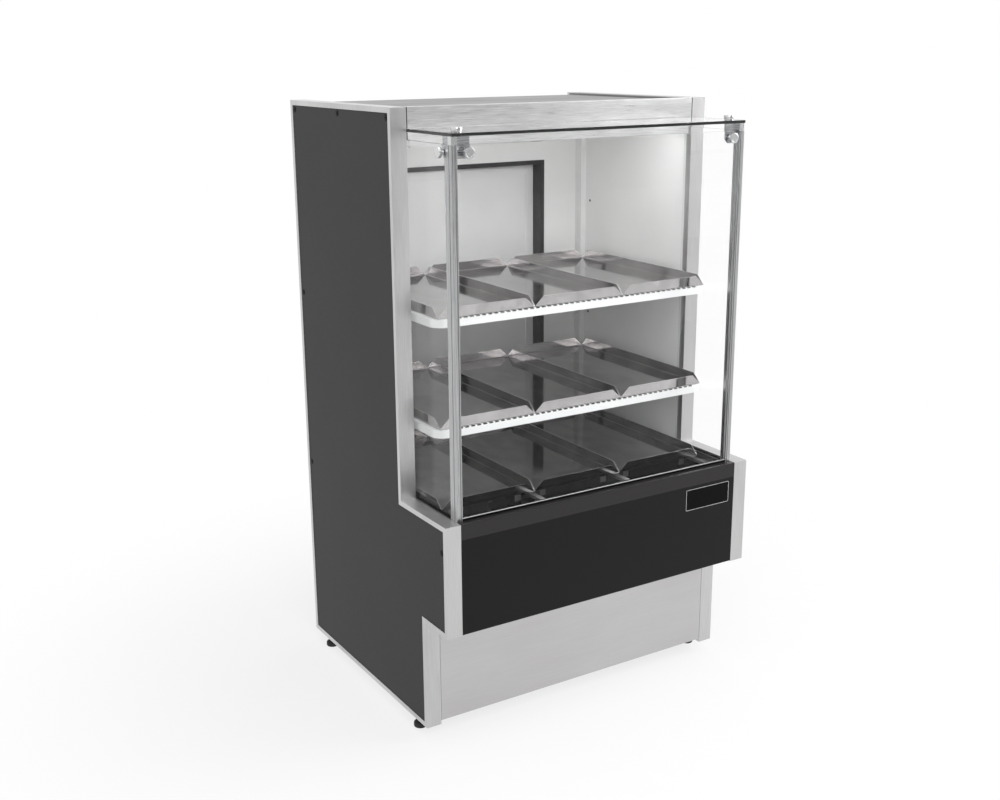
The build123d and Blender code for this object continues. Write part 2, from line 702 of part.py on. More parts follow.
def clamp_knobs():
    """Four pane knobs and two studs on the top glass."""
    reach = KNOB_STANDOFF + GLASS_T + GLASS_GAP + CLAMP_T + 1.0
    knob = clamp_knob(KNOB_T, reach)
    front_y = FRONT_PANE_Y - KNOB_STANDOFF + reach
    side_x = SIDE_PANE_X + KNOB_STANDOFF - reach
    stud = clamp_knob(STUD_T, GLASS_T + CLAMP_T + 1.0)
    front = Pos(KNOB_X, front_y, KNOB_Z) * Rot(X=90) * knob
    side = Pos(side_x, KNOB_Y, KNOB_Z) * Rot(Y=90) * knob
    top = Pos(STUD_X, STUD_Y, TOP_GLASS_Z - CLAMP_T - 1.0) * stud
    pieces = [front, side, top]
    return Compound(children=pieces + [mirrored(piece) for piece in pieces])


def kick_panel():
    """Plinth panel between the side frames, with returns along its top and bottom."""
    half = SHEET / 2
    face = PLINTH_Y + half
    back = PLINTH_Y + 18.0
    points = [
        (back, APRON_Z - half),
        (face, APRON_Z - half),
        (face, KICK_Z + half),
        (back, KICK_Z + half),
    ]
    return folded_sheet(points, SHEET, -INNER_X + 0.5, INNER_X - 0.5)


def base_floor():
    """Floor pan of the machine space, with vent slots under the condenser."""
    front = PLINTH_Y + 20.0
    rear = SERVICE_Y - SERVICE_RETURN - 1.0
    up = FLOOR_Z + 24.0
    pan = box(-INNER_X, INNER_X, front, rear, FLOOR_Z, FLOOR_Z + SHEET)
    for side in (-1, 1):
        outer = side * INNER_X
        inner = side * (INNER_X - SHEET)
        pan += box(min(outer, inner), max(outer, inner), front, rear, FLOOR_Z, up)
    pan += box(-INNER_X, INNER_X, front, front + SHEET, FLOOR_Z, up)
    for i in range(6):
        y = -150.0 + 30.0 * i
        pan -= box(190.0, 310.0, y, y + 10.0, FLOOR_Z - OVER, FLOOR_Z + SHEET + OVER)
    return pan


def levelling_foot(x, y):
    """Round foot on a screwed stem."""
    nut = Pos(x, y, FOOT_H) * extrude(RegularPolygon(8.0, 6), 6.0)
    return z_rod(x, y, 0, FOOT_H, FOOT_R) + nut + z_rod(x, y, FOOT_H, FOOT_STEM_TOP, FOOT_STEM_R, FLATS)


def compressor():
    """Hermetic compressor: shell with a seam flange, feet plate, terminal box and two stubs."""
    x, y = COMPRESSOR_XY
    floor = FLOOR_Z + SHEET
    z0 = floor + 18.0
    z1 = CONDENSER_TOP_Z
    seam = z0 + 95.0
    radius = COMPRESSOR_R
    lower = z_rod(x, y, z0, seam, radius, 2 * FLATS)
    lower = chamfer(lower.faces().sort_by(Axis.Z)[0].edges(), 8.0)
    upper = z_rod(x, y, seam, z1, radius - 3.0, 2 * FLATS)
    upper = chamfer(upper.faces().sort_by(Axis.Z)[-1].edges(), 22.0)
    shell = lower + upper + z_rod(x, y, seam, seam + 8.0, radius + 4.0, 2 * FLATS)
    plate_size = (180.0, 120.0)
    plate_z = z0 - 4.0
    plate = chamfer(Rectangle(*plate_size).vertices(), 8.0)
    shell += Pos(x, y, plate_z) * extrude(plate, z0 - plate_z)
    foot = extrude(RegularPolygon(10.0, 6), plate_z - floor)
    for dx in (-1, 1):
        for dy in (-1, 1):
            foot_x = x + dx * (plate_size[0] / 2 - 12.0)
            foot_y = y + dy * (plate_size[1] / 2 - 12.0)
            shell += Pos(foot_x, foot_y, floor) * foot
    front = y - radius
    shell += box(x - 28.0, x + 28.0, front - 26.0, front + 16.0, z0 + 35.0, z0 + 85.0)
    stub_x = x + radius + 5.0
    root_x = x + radius - 20.0
    shell += x_rod(root_x, stub_x, y - STUB_OFFSET, SUCTION_STUB_Z, SUCTION_R + 1.5, FLATS)
    return shell + x_rod(root_x, stub_x, y + STUB_OFFSET, DISCHARGE_STUB_Z, LIQUID_R + 1.5, FLATS)


def pipe(points, radius, bend):
    """Tube along straight runs whose corners are cut by short runs."""
    route = [Vector(*points[0])]
    for before, corner, after in zip(points, points[1:], points[2:]):
        here = Vector(*corner)
        route.append(here + (Vector(*before) - here).normalized() * bend)
        route.append(here + (Vector(*after) - here).normalized() * bend)
    route.append(Vector(*points[-1]))
    path = Polyline(*route)
    section = Plane(origin=path @ 0, z_dir=path % 0) * RegularPolygon(radius, FLATS)
    return sweep(section, path=path, transition=Transition.RIGHT)


def coil_rows(z0, z1):
    """Heights of a coil's tube rows."""
    count = int((z1 - z0 - 2 * COIL_EDGE) // COIL_PITCH) + 1
    return [z0 + COIL_EDGE + COIL_PITCH * i for i in range(count)]


def coil(x0, x1, y0, y1, z0, z1):
    """Finned coil whose tube rows are joined by bends, with its two ends open on the left."""
    depth = 15.0
    block = box(x0, x1, y0, y1, z0, z1)
    count = int((x1 - x0 - 12.0) // FIN_PITCH)
    for i in range(count):
        x = (x0 + x1) / 2 + (i - (count - 1) / 2) * FIN_PITCH
        for side in ((y0 - OVER, y0 + depth), (y1 - depth, y1 + OVER)):
            block -= box(x - FIN_GAP / 2, x + FIN_GAP / 2, *side, z0 + 6.0, z1 - 6.0)
    middle = (y0 + y1) / 2
    rows = coil_rows(z0, z1)
    for i in range(len(rows) - 1):
        root, tip = ((x1, x1 + BEND_REACH), (x0, x0 - BEND_REACH))[i % 2]
        block += pipe([
            (root, middle, rows[i]),
            (tip, middle, rows[i]),
            (tip, middle, rows[i + 1]),
            (root, middle, rows[i + 1]),
        ], LIQUID_R, BEND_REACH / 2)
    return block


def axial_fan(centre):
    """Fan of pitched sheet blades on a hub, spinning about Y."""
    fan = z_rod(0, 0, -10.0, 10.0, 20.0, 2 * FLATS)
    outline = [
        (14.0, -13.0),
        (FAN_R - 6.0, -22.0),
        (FAN_R, -14.0),
        (FAN_R, 16.0),
        (FAN_R - 4.0, 22.0),
        (14.0, 13.0),
    ]
    sheet = extrude(make_face(Polyline(*outline, close=True)), BLADE_T / 2, both=True)
    for i in range(BLADES):
        fan += Rot(Z=360.0 * i / BLADES) * Rot(X=BLADE_PITCH) * sheet
    fan -= z_rod(0, 0, -20.0, 20.0, SHAFT_R + 3 * STEM_CLEAR, 2 * FLATS)
    return Pos(*centre) * Rot(X=90) * fan


def fan_mount(centre, plate_half_x, plate_z, plate_y, motor_y):
    """Fan plate with a round opening, and a motor on four arms whose shaft carries the fan."""
    x, y, z = centre
    hole_r = FAN_R + FAN_GAP
    plate_rear = plate_y + 2.0
    mount = box(x - plate_half_x, x + plate_half_x, plate_y, plate_rear, *plate_z)
    # the lower corners clear the chamfered floor of the well
    mount = chamfer(mount.edges().filter_by(Axis.Y).group_by(Axis.Z)[0], 13.0)
    mount -= y_rod(x, plate_y - OVER, plate_rear + OVER, z, hole_r, 2 * FLATS)
    motor_y0, motor_y1 = motor_y
    mount += y_rod(x, motor_y0, motor_y1, z, MOTOR_R, 2 * FLATS)
    behind = motor_y0 > y
    near_end = motor_y0 if behind else motor_y1
    shaft_tip = y - 12.0 if behind else y + 12.0
    mount += y_rod(x, min(shaft_tip, near_end), max(shaft_tip, near_end), z, SHAFT_R, FLATS)
    arm_y = (motor_y0 + motor_y1) / 2
    root = MOTOR_R - 4.0
    reach = hole_r + 8.0
    for i in range(4):
        angle = 45.0 + 90.0 * i
        dx = math.cos(math.radians(angle))
        dz = math.sin(math.radians(angle))
        middle = (root + reach) / 2
        arm = Pos(x + dx * middle, arm_y, z + dz * middle) * Rot(Y=-angle)
        mount += arm * Box(reach - root, 3.0, 10.0)
        foot_x = x + dx * reach
        foot_z = z + dz * reach
        ends = (min(arm_y, plate_y), max(arm_y, plate_rear))
        mount += box(foot_x - 4.0, foot_x + 4.0, *ends, foot_z - 4.0, foot_z + 4.0)
    return mount


def refrigerant_pipes():
    """Suction, liquid and discharge lines, with the filter drier brazed into the liquid line."""
    x, y = COMPRESSOR_XY
    stub_x = x + COMPRESSOR_R + 5.0
    suction_y = y - STUB_OFFSET
    discharge_y = y + STUB_OFFSET
    coil_x = CONDENSER_X[0]
    coil_y = (CONDENSER_Y[0] + CONDENSER_Y[1]) / 2
    condenser_rows = coil_rows(FLOOR_Z + SHEET, CONDENSER_TOP_Z)
    evaporator_rows = coil_rows(*EVAPORATOR_Z)
    # planes in which the three lines climb, and the heights at which two of them cross the machine
    suction_x = -85.0
    liquid_x = -60.0
    discharge_x = -20.0
    suction_z = 260.0
    liquid_z = 275.0
    suction = pipe([
        (stub_x, suction_y, SUCTION_STUB_Z),
        (suction_x, suction_y, SUCTION_STUB_Z),
        (suction_x, suction_y, suction_z),
        (SUCTION_RISER_X, suction_y, suction_z),
        (SUCTION_RISER_X, suction_y, evaporator_rows[-1]),
        (-EVAPORATOR_X, suction_y, evaporator_rows[-1]),
    ], SUCTION_R, 18.0)
    liquid = pipe([
        (coil_x, coil_y, condenser_rows[0]),
        (liquid_x, coil_y, condenser_rows[0]),
        (liquid_x, coil_y, liquid_z),
        (liquid_x, suction_y, liquid_z),
        (LIQUID_RISER_X, suction_y, liquid_z),
        (LIQUID_RISER_X, suction_y, evaporator_rows[0]),
        (-EVAPORATOR_X, suction_y, evaporator_rows[0]),
    ], LIQUID_R, 14.0)
    drier = x_rod(-35.0, 35.0, coil_y, condenser_rows[0], 11.0, FLATS)
    discharge = pipe([
        (stub_x, discharge_y, DISCHARGE_STUB_Z),
        (discharge_x, discharge_y, DISCHARGE_STUB_Z),
        (discharge_x, discharge_y, condenser_rows[-1]),
        (discharge_x, coil_y, condenser_rows[-1]),
        (coil_x, coil_y, condenser_rows[-1]),
    ], LIQUID_R, 14.0)
    return Compound(children=[suction, liquid + drier, discharge])


def condensate_pan():
    """Shallow pan that catches the drain water."""
    floor = FLOOR_Z + SHEET
    height = 36.0
    wall = 2.0
    plan = chamfer(Rectangle(280.0, 180.0).vertices(), 12.0)
    outer = Pos(0, DRAIN_Y, floor) * extrude(plan, height)
    hollow = extrude(offset(plan, -wall, kind=Kind.INTERSECTION), height)
    return outer - Pos(0, DRAIN_Y, floor + wall) * hollow


def rear_service_panel():
    """Rear cover of the machine space: turned edges, louvres and cut-outs for the controls."""
    y0 = SERVICE_Y
    y1 = SERVICE_Y + SERVICE_T
    z0 = PLINTH_Z + 6.0
    edge_y = y0 - SERVICE_RETURN
    panel = box(-SERVICE_X, SERVICE_X, edge_y, y1, z0, SERVICE_TOP_Z)
    panel -= box(
        -SERVICE_X + SERVICE_T, SERVICE_X - SERVICE_T, edge_y - OVER, y0,
        z0 + SERVICE_T, SERVICE_TOP_Z - SERVICE_T,
    )
    hood = [(y1 - 0.6, 0.0), (y1 + 4.4, -7.0), (y1 + 3.4, -8.0), (y1 - 0.6, -2.0)]
    for i in range(LOUVRES):
        z = LOUVRE_Z + LOUVRE_PITCH * i
        panel -= box(70.0, 290.0, y0 - OVER, y1 + OVER, z - 7.0, z - 2.0)
        panel += Pos(0, 0, z) * yz_prism(hood, 66.0, 294.0)
    x, z = THERMOSTAT_XZ
    half_w, half_h = (size / 2 for size in THERMOSTAT_CUTOUT)
    panel -= box(x - half_w, x + half_w, y0 - OVER, y1 + OVER, z - half_h, z + half_h)
    x, z = SWITCH_XZ
    half_w, half_h = (size / 2 for size in SWITCH_CUTOUT)
    panel -= box(x - half_w, x + half_w, y0 - OVER, y1 + OVER, z - half_h, z + half_h)
    x, z = GLAND_XZ
    return panel - y_rod(x, y0 - OVER, y1 + OVER, z, GLAND_R + 0.3)


def thermostat():
    """Panel-mounted digital thermostat with a recessed window."""
    x, z = THERMOSTAT_XZ
    face = SERVICE_Y + SERVICE_T
    half_w = 40.0
    half_h = 18.0
    bezel = box(x - half_w, x + half_w, face, face + 4.0, z - half_h, z + half_h)
    bezel = chamfer(bezel.edges().filter_by(Axis.Y), 3.0)
    bezel -= box(x - 34.0, x + 10.0, face + 3.2, face + 4.0 + OVER, z - 12.0, z + 12.0)
    half_w = THERMOSTAT_CUTOUT[0] / 2 - 0.1
    half_h = THERMOSTAT_CUTOUT[1] / 2 - 0.1
    return bezel + box(x - half_w, x + half_w, SERVICE_Y - 48.0, face, z - half_h, z + half_h)


def power_switch_housing():
    """Switch body with an open front, clipped into the service panel."""
    x, z = SWITCH_XZ
    face = SERVICE_Y + SERVICE_T
    flange = box(x - 12.0, x + 12.0, face, face + 2.0, z - 16.0, z + 16.0)
    half_w, half_h = (size / 2 - 0.1 for size in SWITCH_CUTOUT)
    body = flange + box(x - half_w, x + half_w, SERVICE_Y - 22.0, face, z - half_h, z + half_h)
    body -= box(x - 7.0, x + 7.0, face - 12.0, face + 3.0, z - 11.5, z + 11.5)
    return body + x_rod(x - 7.5, x + 7.5, face - PIN_DEPTH, z, PIN_R, FLATS)


def power_switch_rocker():
    """Rocker with two shallow finger faces on the housing's pin, pressed in at its upper end."""
    x, z = SWITCH_XZ
    face = SERVICE_Y + SERVICE_T
    pivot = face - PIN_DEPTH
    half = 10.6
    profile = [
        (pivot - 4.0, z - 5.0),
        (pivot - 4.0, z + 5.0),
        (pivot + 3.0, z + half),
        (face + 2.8, z + half),
        (face + 1.2, z),
        (face + 2.8, z - half),
        (pivot + 3.0, z - half),
    ]
    rocker = yz_prism(profile, x - 6.6, x + 6.6)
    rocker -= x_rod(x - 8.0, x + 8.0, pivot, z, PIN_R + 0.1, 2 * FLATS)
    hinge = Axis((x, pivot, z), (1, 0, 0))
    return rocker.rotate(hinge, ROCKER_TILT)


def cable_gland():
    """Gland in the service panel where the supply cable enters."""
    x, z = GLAND_XZ
    face = SERVICE_Y + SERVICE_T
    body = y_rod(x, SERVICE_Y - 10.0, face, z, GLAND_R, FLATS)
    nut = Pos(x, face, z) * extrude(Plane.XZ * RegularPolygon(11.0, 6), -3.0)
    cap = y_rod(x, face, BACK_Y, z, GLAND_R - 0.6, FLATS)
    lock = Pos(x, SERVICE_Y - 4.0, z) * extrude(Plane.XZ * RegularPolygon(11.0, 6), -4.0)
    gland = body + nut + cap + lock
    return gland - y_rod(x, SERVICE_Y - 11.0, BACK_Y + OVER, z, GLAND_BORE_R)


def build_nodes():
    """Every piece by its node's name."""
    half, _, _ = door_opening()
    reach = half - 0.5
    inner_edge = DOOR_OVERLAP / 2
    nodes = {
        "roof_panel": roof_panel(),
        "ceiling": ceiling(),
        "top_fascia": top_fascia(),
        "led_lamp": led_lamp(),
        "back_wall": back_wall(),
        "rear_door_frame": rear_door_frame(),
        "rear_door_left": sliding_door(-reach, inner_edge, INNER_TRACK_Y, -reach + 22.0),
        "rear_door_right": sliding_door(-inner_edge, reach, OUTER_TRACK_Y, reach - 22.0),
        "side_panel_screws": side_panel_screws(),
        "shelf_brackets": shelf_brackets(),
        "base_deck": base_deck(),
        "well_tub": well_tub(),
        "front_apron": front_apron(),
        "glazing_channel": glazing_channel(),
        "front_glass": front_glass(),
        "top_glass": top_glass(),
        "clamp_knobs": clamp_knobs(),
        "kick_panel": kick_panel(),
        "base_floor": base_floor(),
        "compressor": compressor(),
        "condenser_coil": coil(*CONDENSER_X, *CONDENSER_Y, FLOOR_Z + SHEET, CONDENSER_TOP_Z),
        "condenser_fan": axial_fan(CONDENSER_FAN),
        "condenser_fan_mount": fan_mount(
            CONDENSER_FAN, 118.0, (FLOOR_Z + SHEET, CONDENSER_TOP_Z), 234.0, (170.0, 206.0)
        ),
        "evaporator_coil": coil(-EVAPORATOR_X, EVAPORATOR_X, *EVAPORATOR_Y, *EVAPORATOR_Z),
        "evaporator_fan": axial_fan(EVAPORATOR_FAN),
        "evaporator_fan_mount": fan_mount(
            EVAPORATOR_FAN, 350.0, (TUB_FLOOR_Z + 1.0, 482.0), 38.0, (68.0, 100.0)
        ),
        "refrigerant_pipes": refrigerant_pipes(),
        "condensate_pan": condensate_pan(),
        "rear_service_panel": rear_service_panel(),
        "thermostat": thermostat(),
        "power_switch_housing": power_switch_housing(),
        "power_switch_rocker": power_switch_rocker(),
        "cable_gland": cable_gland(),
    }
    pairs = {
        "side_frame": side_frame(),
        "side_panel": side_panel(),
        "side_wall": side_wall(),
        "side_glass": side_glass(),
        "corner_post": corner_post(),
        "corner_clamp": corner_clamp(),
    }
    for name, piece in pairs.items():
        nodes[f"{name}_right"] = piece
        nodes[f"{name}_left"] = mirrored(piece)
    for level, top in SHELF_TOPS.items():
        nodes[f"shelf_{level}"] = shelf(top)
    levels = dict(SHELF_TOPS, base=BASE_TRAY_Z)
    columns = ("left", "middle", "right")
    for level, top in levels.items():
        for i, column in enumerate(columns):
            x = (i - (TRAY_COUNT - 1) / 2) * TRAY_PITCH
            nodes[f"tray_{level}_{column}"] = tray(x, top + SEATING_GAP)
    for row, y in FOOT_YS.items():
        for side, x in (("left", -FOOT_X), ("right", FOOT_X)):
            nodes[f"foot_{row}_{side}"] = levelling_foot(x, y)
    return nodes


os.makedirs("parts", exist_ok=True)
for node, solid in build_nodes().items():
    export_step(solid, f"parts/{node}.step")
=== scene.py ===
import bpy
import bmesh
import json
import math
from mathutils import Matrix, Vector

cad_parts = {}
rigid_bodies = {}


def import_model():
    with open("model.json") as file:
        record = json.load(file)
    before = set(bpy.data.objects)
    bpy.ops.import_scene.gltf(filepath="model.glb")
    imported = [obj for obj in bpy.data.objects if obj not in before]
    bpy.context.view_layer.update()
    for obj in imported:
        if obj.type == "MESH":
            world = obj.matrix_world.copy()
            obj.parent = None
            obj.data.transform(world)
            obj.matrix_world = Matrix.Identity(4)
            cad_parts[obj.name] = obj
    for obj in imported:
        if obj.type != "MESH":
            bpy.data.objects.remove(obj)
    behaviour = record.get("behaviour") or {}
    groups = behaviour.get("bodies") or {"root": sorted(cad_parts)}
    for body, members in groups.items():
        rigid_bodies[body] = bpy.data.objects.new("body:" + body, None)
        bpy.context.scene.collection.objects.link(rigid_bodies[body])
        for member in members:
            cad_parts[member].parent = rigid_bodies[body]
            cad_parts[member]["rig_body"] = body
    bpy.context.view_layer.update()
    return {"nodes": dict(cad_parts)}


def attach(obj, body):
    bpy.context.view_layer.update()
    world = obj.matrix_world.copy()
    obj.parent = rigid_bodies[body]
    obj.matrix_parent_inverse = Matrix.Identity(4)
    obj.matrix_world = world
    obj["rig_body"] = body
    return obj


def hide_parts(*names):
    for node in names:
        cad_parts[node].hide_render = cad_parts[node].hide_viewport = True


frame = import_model()
cadNodes = frame["nodes"]
print("frame loaded with", len(cadNodes), "nodes")

mm = 0.001


# small helpers

def toLinear(hexCode):
    parts = [int(hexCode[i:i + 2], 16) / 255 for i in (1, 3, 5)]
    parts = [c / 12.92 if c <= 0.04045 else ((c + 0.055) / 1.055) ** 2.4 for c in parts]
    return (*parts, 1.0)


def addNode(tree, kind, settings=None, values=None, links=None):
    made = tree.nodes.new(kind)
    for name, value in (settings or {}).items():
        setattr(made, name, value)
    for name, value in (values or {}).items():
        made.inputs[name].default_value = value
    for name, source in (links or {}).items():
        tree.links.new(source, made.inputs[name])
    return made


def startMaterial(name, values):
    material = bpy.data.materials.new(name)
    material.use_nodes = True
    tree = material.node_tree
    tree.nodes.clear()
    shader = addNode(tree, "ShaderNodeBsdfPrincipled", values=values)
    addNode(tree, "ShaderNodeOutputMaterial", links={"Surface": shader.outputs["BSDF"]})
    place = addNode(tree, "ShaderNodeTexCoord").outputs["Object"]
    return material, tree, shader, place


def perMetre(*sizes):
    return tuple(1000 / size for size in sizes)  # sizes in mm to pattern repeats in a metre


def grain(tree, place, sizes, detail=4, rough=0.6):
    spread = addNode(tree, "ShaderNodeMapping", values={"Scale": perMetre(*sizes)}, links={"Vector": place})
    return addNode(tree, "ShaderNodeTexNoise", values={"Scale": 1.0, "Detail": detail, "Roughness": rough},
                   links={"Vector": spread.outputs["Vector"]}).outputs["Fac"]


def tint(tree, shader, factor, dark, light, low=0.3, high=0.7):
    ramp = addNode(tree, "ShaderNodeValToRGB", links={"Fac": factor})
    ramp.color_ramp.elements[0].position = low
    ramp.color_ramp.elements[0].color = toLinear(dark)
    ramp.color_ramp.elements[1].position = high
    ramp.color_ramp.elements[1].color = toLinear(light)
    tree.links.new(ramp.outputs["Color"], shader.inputs["Base Color"])


def varyRoughness(tree, shader, factor, smooth, rough):
    span = addNode(tree, "ShaderNodeMapRange", values={"From Min": 0.3, "From Max": 0.7, "To Min": smooth,
                   "To Max": rough}, links={"Value": factor})
    tree.links.new(span.outputs["Result"], shader.inputs["Roughness"])


def addBump(tree, shader, height, depth, strength):
    bump = addNode(tree, "ShaderNodeBump", values={"Strength": strength, "Distance": depth * mm},
                   links={"Height": height})
    tree.links.new(bump.outputs["Normal"], shader.inputs["Normal"])


# materials

def brushedStainless(name, look):
    # AISI 304 sheet, belt ground: fine lines along one direction, soft stretched highlights
    material, tree, shader, place = startMaterial(name, {"Metallic": 1.0})
    lines = grain(tree, place, look["lineSize"], detail=5, rough=0.65)
    clouds = grain(tree, place, look["cloudSize"], detail=2)
    faint = addNode(tree, "ShaderNodeMath", {"operation": "MULTIPLY"}, {1: 0.45}, {0: clouds}).outputs[0]
    both = addNode(tree, "ShaderNodeMath", {"operation": "MULTIPLY_ADD"}, {1: 0.55},
                   {0: lines, 2: faint}).outputs[0]
    tint(tree, shader, both, look["dark"], look["light"], 0.36, 0.64)
    varyRoughness(tree, shader, lines, look["smooth"], look["rough"])
    addBump(tree, shader, lines, look["lineDepth"], look["bump"])
    return material


satinSteel = {  # sizes of the pattern in mm along X, Y and Z
    "lineSize": (1.2, 1.2, 60), "cloudSize": (160, 160, 420), "dark": "#BDBCBC", "light": "#D3D3D3",
    "smooth": 0.30, "rough": 0.42, "lineDepth": 0.03, "bump": 0.35,
}
fasciaSteel = {
    "lineSize": (42, 1.4, 1.4), "cloudSize": (240, 120, 50), "dark": "#C2C2C2", "light": "#EDEDED",
    "smooth": 0.26, "rough": 0.44, "lineDepth": 0.05, "bump": 0.55,
}
roofSteel = dict(fasciaSteel, dark="#808080", light="#9A9A9A", smooth=0.50, rough=0.62)
# darker copy of the satin sheet for the well tub: painted shade
paintedShadeWellSteel = dict(satinSteel, dark="#4E4D4D", light="#636262")
# brighter copy of the satin sheet for the deck bars and the well's rim: painted light
paintedLightDeckSteel = dict(satinSteel, dark="#DADADA", light="#F0F0F0")
kickSteel = dict(satinSteel, dark="#BDBBBC", light="#C9C8C8", lineSize=(70, 1.2, 1.2),
                 cloudSize=(420, 160, 160))


def polishedStainless(name):
    # bright annealed sheet: mirror finish with faint rolling lines and wiping marks
    material, tree, shader, place = startMaterial(name, {"Metallic": 1.0})
    lines = grain(tree, place, (1.6, 90, 90), detail=4)
    smears = grain(tree, place, (38, 70, 38), detail=3, rough=0.5)
    tint(tree, shader, smears, "#ADABAB", "#C1BFBF", 0.3, 0.7)
    varyRoughness(tree, shader, smears, 0.06, 0.13)
    addBump(tree, shader, lines, 0.004, 0.3)
    return material


def whiteEnamel(name, colour, shade):
    # polyester powder coat, baked: a faint orange peel and a soft sheen
    material, tree, shader, place = startMaterial(name, {"Metallic": 0.0, "IOR": 1.5})
    peel = grain(tree, place, (2.4, 2.4, 2.4), detail=2)
    clouds = grain(tree, place, (210, 210, 210), detail=2)
    tint(tree, shader, clouds, shade, colour)
    varyRoughness(tree, shader, peel, 0.32, 0.40)
    addBump(tree, shader, peel, 0.02, 0.3)
    return material


def graphitePowderCoat(name):
    # fine-texture powder coat: matt dark grey with a sandy grain that breaks up the highlights
    material, tree, shader, place = startMaterial(name, {"Metallic": 0.0, "IOR": 1.45})
    sand = grain(tree, place, (1.3, 1.3, 1.3), detail=3, rough=0.7)
    clouds = grain(tree, place, (300, 300, 300), detail=2)
    tint(tree, shader, clouds, "#1A1A1B", "#202021")
    varyRoughness(tree, shader, sand, 0.50, 0.64)
    addBump(tree, shader, sand, 0.05, 0.5)
    return material


paintedReflectionBand = {"from": 490.5, "to": 491.2}  # heights in mm where the apron's face turns into its lighter top band, a painted reflection


def blackLacquer(name):
    # high-gloss stoved lacquer on steel: deep black, painted lighter along a top band as a painted
    # reflection
    material, tree, shader, place = startMaterial(name, {"Metallic": 0.0, "IOR": 1.28})
    height = addNode(tree, "ShaderNodeSeparateXYZ", links={"Vector": place}).outputs["Z"]
    edge = addNode(tree, "ShaderNodeMapRange", links={"Value": height},
                   values={"From Min": paintedReflectionBand["from"] * mm, "From Max": paintedReflectionBand["to"] * mm})
    # the band above the given heights is painted lighter: painted reflection
    tint(tree, shader, edge.outputs["Result"], "#100E0F", "#2C2A2B", 0.0, 1.0)
    peel = grain(tree, place, (6, 6, 6), detail=2)
    varyRoughness(tree, shader, peel, 0.10, 0.16)
    addBump(tree, shader, peel, 0.01, 0.25)
    return material


def dyedAnodisedAndPaintedShade(name, colour, shade, ior=1.5):
    # aluminium profile, anodised and dyed black: satin, with faint extrusion lines; its grey copies for the
    # post grooves and sheet joints are painted shade
    material, tree, shader, place = startMaterial(name, {"Metallic": 0.0, "IOR": ior})
    lines = grain(tree, place, (1.5, 1.5, 80), detail=3)
    tint(tree, shader, lines, shade, colour)
    varyRoughness(tree, shader, lines, 0.34, 0.46)
    addBump(tree, shader, lines, 0.02, 0.3)
    return material


def satinAluminium(name, dark, light, lineSize=(1.1, 1.1, 120)):
    # extruded aluminium, etched and clear anodised: pale grey with long fine lines
    material, tree, shader, place = startMaterial(name, {"Metallic": 1.0})
    lines = grain(tree, place, lineSize, detail=4)
    tint(tree, shader, lines, dark, light)
    varyRoughness(tree, shader, lines, 0.22, 0.34)
    addBump(tree, shader, lines, 0.02, 0.4)
    return material


def turnedAluminium(name):
    # knobs turned on a lathe and anodised: bright, with a fine all-round grain
    material, tree, shader, place = startMaterial(name, {"Metallic": 1.0})
    lines = grain(tree, place, (1.4, 1.4, 1.4), detail=3)
    tint(tree, shader, lines, "#C4C5C6", "#DCDDDD")
    varyRoughness(tree, shader, lines, 0.18, 0.28)
    addBump(tree, shader, lines, 0.01, 0.3)
    return material


def coatedGlass(name):
    # low-iron glass with an antireflective coating: colourless, with only a faint mirror image on its face
    clearGlass = {"Base Color": toLinear("#FFFFFF"), "Metallic": 0.0, "IOR": 1.2,
                  "Transmission Weight": 1.0, "Roughness": 0.0}
    material, tree, shader, place = startMaterial(name, clearGlass)
    film = grain(tree, place, (120, 120, 120), detail=2)
    varyRoughness(tree, shader, film, 0.0, 0.012)
    path = addNode(tree, "ShaderNodeLightPath")
    unseen = addNode(tree, "ShaderNodeMath", {"operation": "MAXIMUM"},
                     links={0: path.outputs["Is Shadow Ray"], 1: path.outputs["Is Diffuse Ray"]}).outputs[0]
    clear = addNode(tree, "ShaderNodeBsdfTransparent", values={"Color": toLinear("#F8F9F9")})
    mixed = addNode(tree, "ShaderNodeMixShader",
                    links={0: unseen, 1: shader.outputs["BSDF"], 2: clear.outputs["BSDF"]})
    output = [n for n in tree.nodes if n.type == "OUTPUT_MATERIAL"][0]
    tree.links.new(mixed.outputs["Shader"], output.inputs["Surface"])
    return material


def groundGlassEdge(name):
    # ground and polished pane edge: the depth of the glass makes it nearly black
    material, tree, shader, place = startMaterial(name, {"Metallic": 0.0, "IOR": 1.5})
    streaks = grain(tree, place, (30, 30, 1.5), detail=3)
    tint(tree, shader, streaks, "#161717", "#2A2C2B")
    varyRoughness(tree, shader, streaks, 0.12, 0.25)
    return material


def blackOxide(name):
    # blackened steel fastener: near black, a little worn on its rim
    material, tree, shader, place = startMaterial(name, {"Metallic": 0.8})
    wear = grain(tree, place, (1.5, 1.5, 1.5), detail=3)
    tint(tree, shader, wear, "#0B0B0C", "#19191A")
    varyRoughness(tree, shader, wear, 0.35, 0.5)
    return material


def opalAcrylic(name):
    # opal acrylic diffuser: milky white, glows softly with the light strip behind it
    glow = {"Emission Color": toLinear("#FFFFFF"), "Emission Strength": 12.0}
    material, tree, shader, place = startMaterial(name, {"Metallic": 0.0, "IOR": 1.49, **glow})
    milk = grain(tree, place, (14, 14, 14), detail=2)
    tint(tree, shader, milk, "#F4F4F1", "#FAFAF8")
    varyRoughness(tree, shader, milk, 0.25, 0.32)
    return material


def mouldedPlastic(name, dark, light, smooth=0.38, rough=0.5, speckle=1.2):
    # injection moulded ABS or rubber: spark-eroded texture, soft edges to the highlights
    material, tree, shader, place = startMaterial(name, {"Metallic": 0.0, "IOR": 1.5})
    spark = grain(tree, place, (speckle, speckle, speckle), detail=3)
    tint(tree, shader, spark, dark, light)
    varyRoughness(tree, shader, spark, smooth, rough)
    addBump(tree, shader, spark, 0.03, 0.4)
    return material


